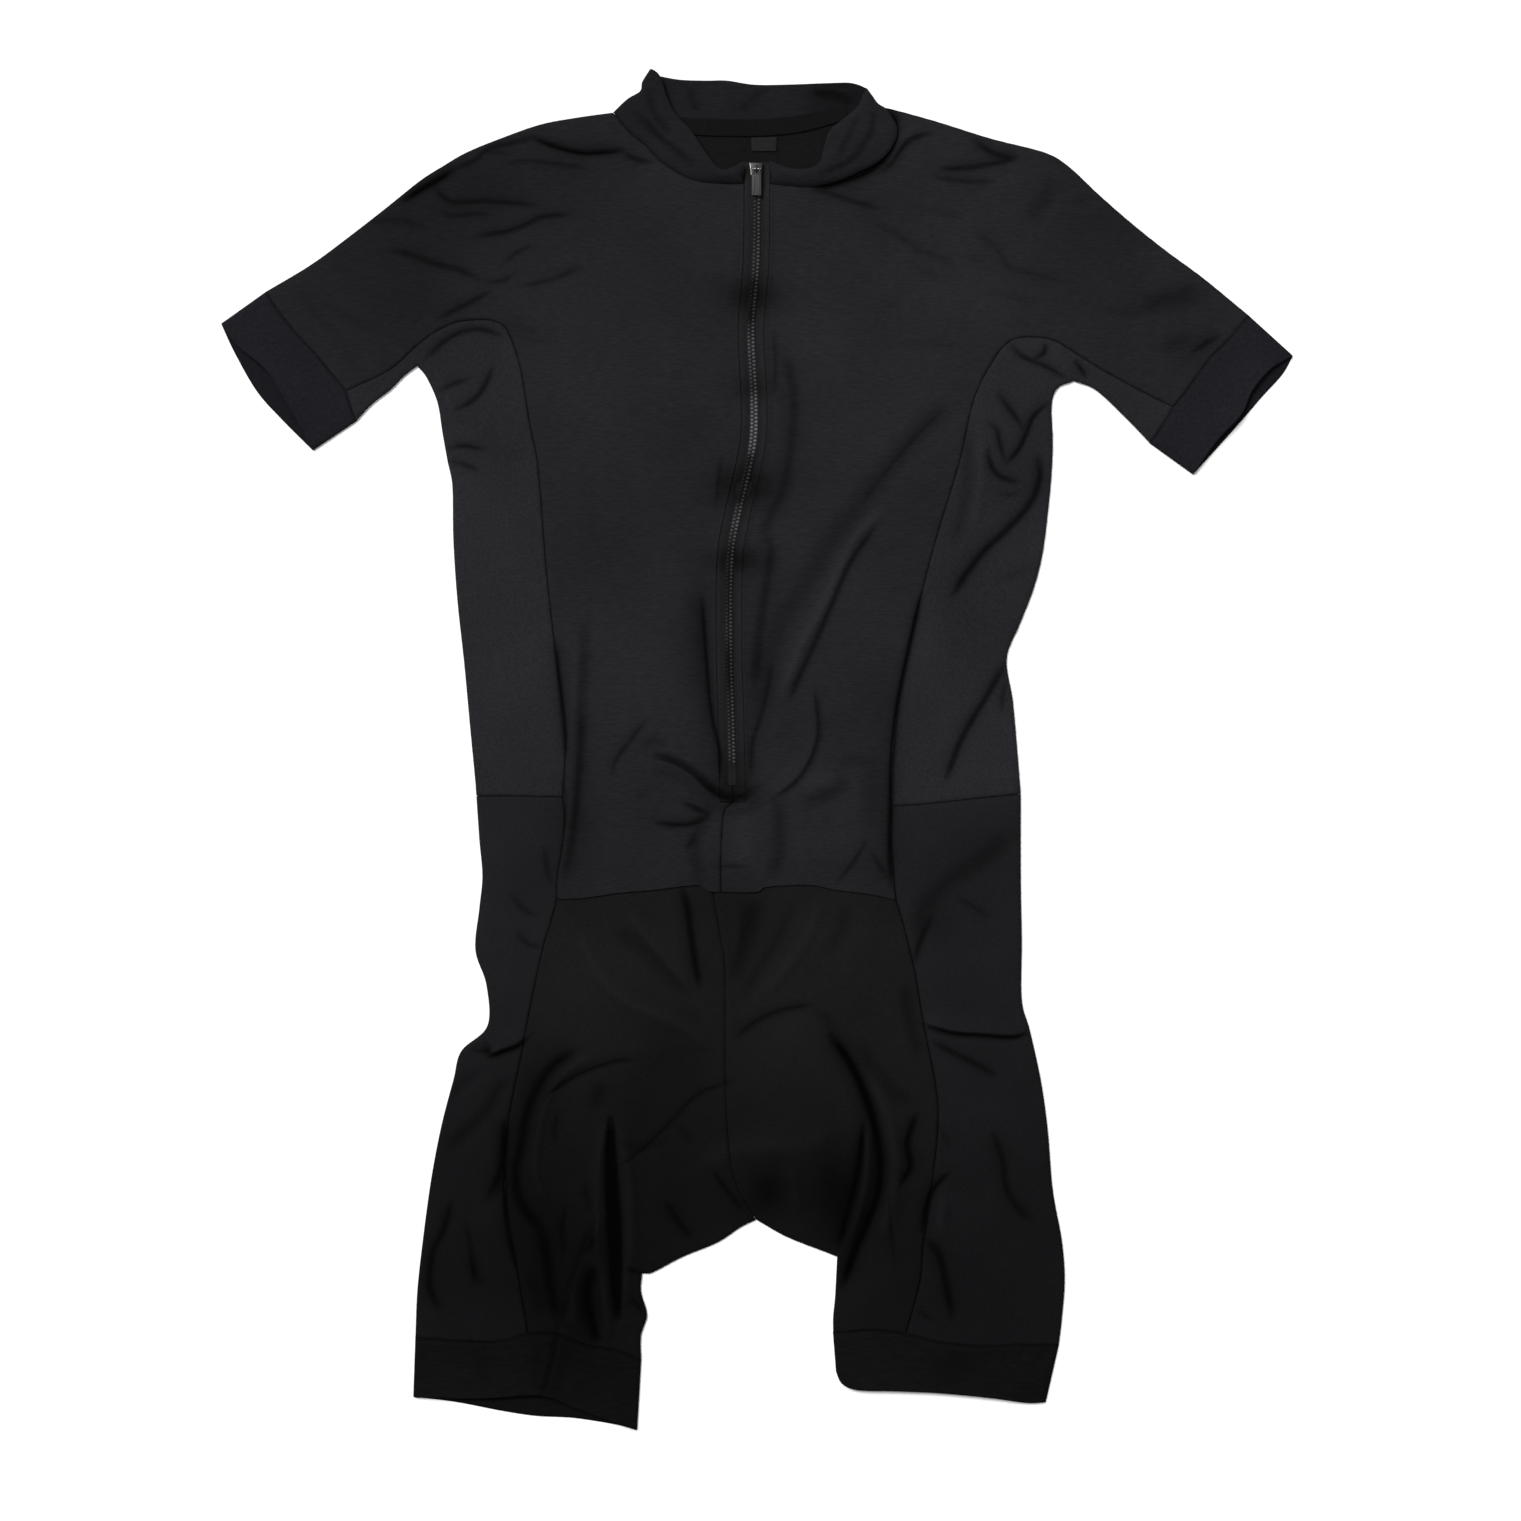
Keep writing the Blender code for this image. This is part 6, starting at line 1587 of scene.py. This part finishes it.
stitches("stitch_zip", [beside_zip(-ZIP_TAPE_HALF - 3.2, 190, 798, 1.0),
                        beside_zip(ZIP_TAPE_HALF + 3.2, 190, 798, 1.0)], height=jersey_top)
hem_line = np.vstack([curve("hem_a", 1.0), curve("hem_b", 1.0)[1:]])
stitches("stitch_hem", [offset_line(hem_line, 15.0)[8:-8], offset_line(hem_line, 19.0)[8:-8]],
         height=jersey_top)

# ------------------------------------------------------------------ slider and pull tab
px, py = to_mm(PIVOT)


def rounded_box(bm, size, at, bevel, segments=3, taper=0.0):
    made = bmesh.ops.create_cube(bm, size=1.0)["verts"]
    for v in made:
        v.co.x *= size[0]
        v.co.y *= size[1]
        v.co.z *= size[2]
        if taper:
            v.co.x *= 1 + taper * v.co.y / size[1]
        v.co += Vector(at)
    edges = list({e for v in made for e in v.link_edges})
    bmesh.ops.bevel(bm, geom=edges, offset=bevel, segments=segments, profile=0.6,
                    affect="EDGES")


def scaled(bm, at):
    for v in bm.verts:
        v.co = (v.co + Vector(at)) / 1000


bm = bmesh.new()
rounded_box(bm, (8.8, 11.0, 1.3), (0, -0.4, 6.0 - PIVOT_Z), 0.5, taper=0.22)
rounded_box(bm, (8.6, 11.0, 1.2), (0, -0.4, 3.4 - PIVOT_Z), 0.5, taper=0.22)
rounded_box(bm, (2.6, 3.2, 2.6), (0, 3.0, 4.7 - PIVOT_Z), 0.3)
scaled(bm, (px, py, PIVOT_Z))
finish_mesh("slider_body", bm, LACQUER, "zip_slider", "slider", sharp=40)


def wire(name, pts, radius, mat, body, slot, sides=10, closed=False):
    """A rod that follows a few points, with rounded bends."""
    p = np.array(pts, float)
    q = np.vstack([p[0], p, p[-1]])
    out = []
    for i in range(1, len(q) - 2):
        for t in np.linspace(0, 1, 7)[:-1]:
            a, b, c, d = q[i - 1], q[i], q[i + 1], q[i + 2]
            out.append(0.5 * ((2 * b) + (c - a) * t + (2 * a - 5 * b + 4 * c - d) * t * t
                              + (3 * b - a - 3 * c + d) * t**3))
    out.append(p[-1])
    path = np.array(out)
    bm = bmesh.new()
    rings = []
    up = np.array([0.0, 0.0, 1.0])
    for i, c in enumerate(path):
        d = path[min(i + 1, len(path) - 1)] - path[max(i - 1, 0)]
        d /= np.linalg.norm(d)
        side = np.cross(d, up if abs(d[2]) < 0.9 else np.array([1.0, 0, 0]))
        side /= np.linalg.norm(side)
        n2 = np.cross(side, d)
        rings.append([bm.verts.new(Vector((c + side * radius * math.cos(a) + n2 * radius * math.sin(a)) / 1000))
                      for a in np.linspace(0, 2 * math.pi, sides, endpoint=False)])
    for a, b in zip(rings[:-1], rings[1:]):
        for i in range(sides):
            j = (i + 1) % sides
            bm.faces.new((a[i], a[j], b[j], b[i]))
    bm.faces.new(rings[0][::-1])
    bm.faces.new(rings[-1])
    bmesh.ops.recalc_face_normals(bm, faces=bm.faces)
    return finish_mesh(name, bm, mat, None, slot, body=body, sharp=50)


# the bridge over the slider, and the worn left edge of its body
wire("slider_bridge", [(px, py + 2.3, 6.4), (px, py + 2.2, 8.6), (px, py + 1.2, 9.7),
                       (px, py - 1.2, 9.7), (px, py - 2.2, 8.6), (px, py - 2.3, 6.4)],
     0.55, LACQUER, "garment", "slider")
wire("slider_edge", [(px - 5.1, py + 4.8, 6.2), (px - 4.6, py + 1.5, 6.4), (px - 3.9, py - 4.6, 6.3)],
     0.36, BARE, "garment", "slider")

bm = bmesh.new()
rounded_box(bm, (7.6, 16.5, 1.5), (0, -4.2 - 8.25, 0), 0.55)
for sx in (-2.3, 2.3):
    rounded_box(bm, (1.1, 5.4, 1.15), (sx, -2.2, 0), 0.3)
scaled(bm, (px, py, PIVOT_Z))
tab = finish_mesh("pull_grip", bm, GRIP, "pull_tab", "pull", body="pull", sharp=40)
bm = bmesh.new()
for sx in (-1.9, 1.9):
    rounded_box(bm, (1.5, 13.0, 0.5), (sx, -4.2 - 8.25, 0.75), 0.2, 2)
scaled(bm, (px, py, PIVOT_Z))
finish_mesh("pull_ribs", bm, GRIP, None, "pull", body="pull", sharp=40)
wire("pull_pin", [(px - 3.0, py, PIVOT_Z), (px, py, PIVOT_Z), (px + 3.0, py, PIVOT_Z)], 0.55,
     BARE, "pull", "pull")

# ------------------------------------------------------------------ stage
floor = bpy.data.meshes.new("floor")
bm = bmesh.new()
bmesh.ops.create_grid(bm, x_segments=1, y_segments=1, size=4.0)
for v in bm.verts:
    v.co.z = -0.0004
bm.to_mesh(floor)
bm.free()
paper = bpy.data.materials.new("pale_floor")
paper.use_nodes = True
b = paper.node_tree.nodes["Principled BSDF"]
grain = paper.node_tree.nodes.new("ShaderNodeTexNoise")
grain.inputs["Scale"].default_value = 40.0
pale = paper.node_tree.nodes.new("ShaderNodeValToRGB")
pale.color_ramp.elements[0].color = (0.925, 0.925, 0.915, 1)
pale.color_ramp.elements[1].color = (0.935, 0.935, 0.925, 1)
paper.node_tree.links.new(grain.outputs["Fac"], pale.inputs["Fac"])
paper.node_tree.links.new(pale.outputs["Color"], b.inputs["Base Color"])
b.inputs["Roughness"].default_value = 0.95
b.inputs["Specular IOR Level"].default_value = 0.05
floor.materials.append(paper)
floor_obj = bpy.data.objects.new("floor", floor)
bpy.context.scene.collection.objects.link(floor_obj)


def area_light(name, at, target, size, power, colour=(1, 1, 1)):
    data = bpy.data.lights.new(name, "AREA")
    data.shape = "DISK"
    data.size = size
    data.energy = power
    data.color = colour
    obj = bpy.data.objects.new(name, data)
    obj.location = at
    obj.visible_camera = False
    obj.rotation_euler = (Vector(target) - Vector(at)).to_track_quat("-Z", "Y").to_euler()
    bpy.context.scene.collection.objects.link(obj)
    return obj


area_light("overhead", (0.03, 0.15, 1.5), (0.03, 0.15, 0), 0.9, 6.0)
sun = bpy.data.lights.new("window_side", "SUN")
sun.energy = 3.3
sun.angle = math.radians(30)
sun_obj = bpy.data.objects.new("window_side", sun)
sun_obj.rotation_euler = Vector((0.42, -0.50, -1.0)).to_track_quat("-Z", "Y").to_euler()
bpy.context.scene.collection.objects.link(sun_obj)
world = bpy.data.worlds.new("studio")
world.use_nodes = True
world.node_tree.nodes["Background"].inputs["Color"].default_value = (0.95, 0.97, 1.0, 1)
world.node_tree.nodes["Background"].inputs["Strength"].default_value = 0.19
bpy.context.scene.world = world

cam = bpy.data.cameras.new("camera")
cam.lens = 70.0
cam.sensor_width = 36.0
cam_obj = bpy.data.objects.new("camera", cam)
FRAME = 1521 * UNIT / 1000
DIST = FRAME * cam.lens / cam.sensor_width
cx, cy = to_mm((760.5, 760.5)) / 1000
cam_obj.location = (cx, cy, DIST + 0.003)
cam_obj.rotation_euler = (0, 0, 0)
bpy.context.scene.collection.objects.link(cam_obj)
bpy.context.scene.camera = cam_obj
bpy.context.scene.view_settings.view_transform = "Standard"
bpy.context.scene.view_settings.look = "None"

for s in SHEETS:
    print("SHEET", *s)
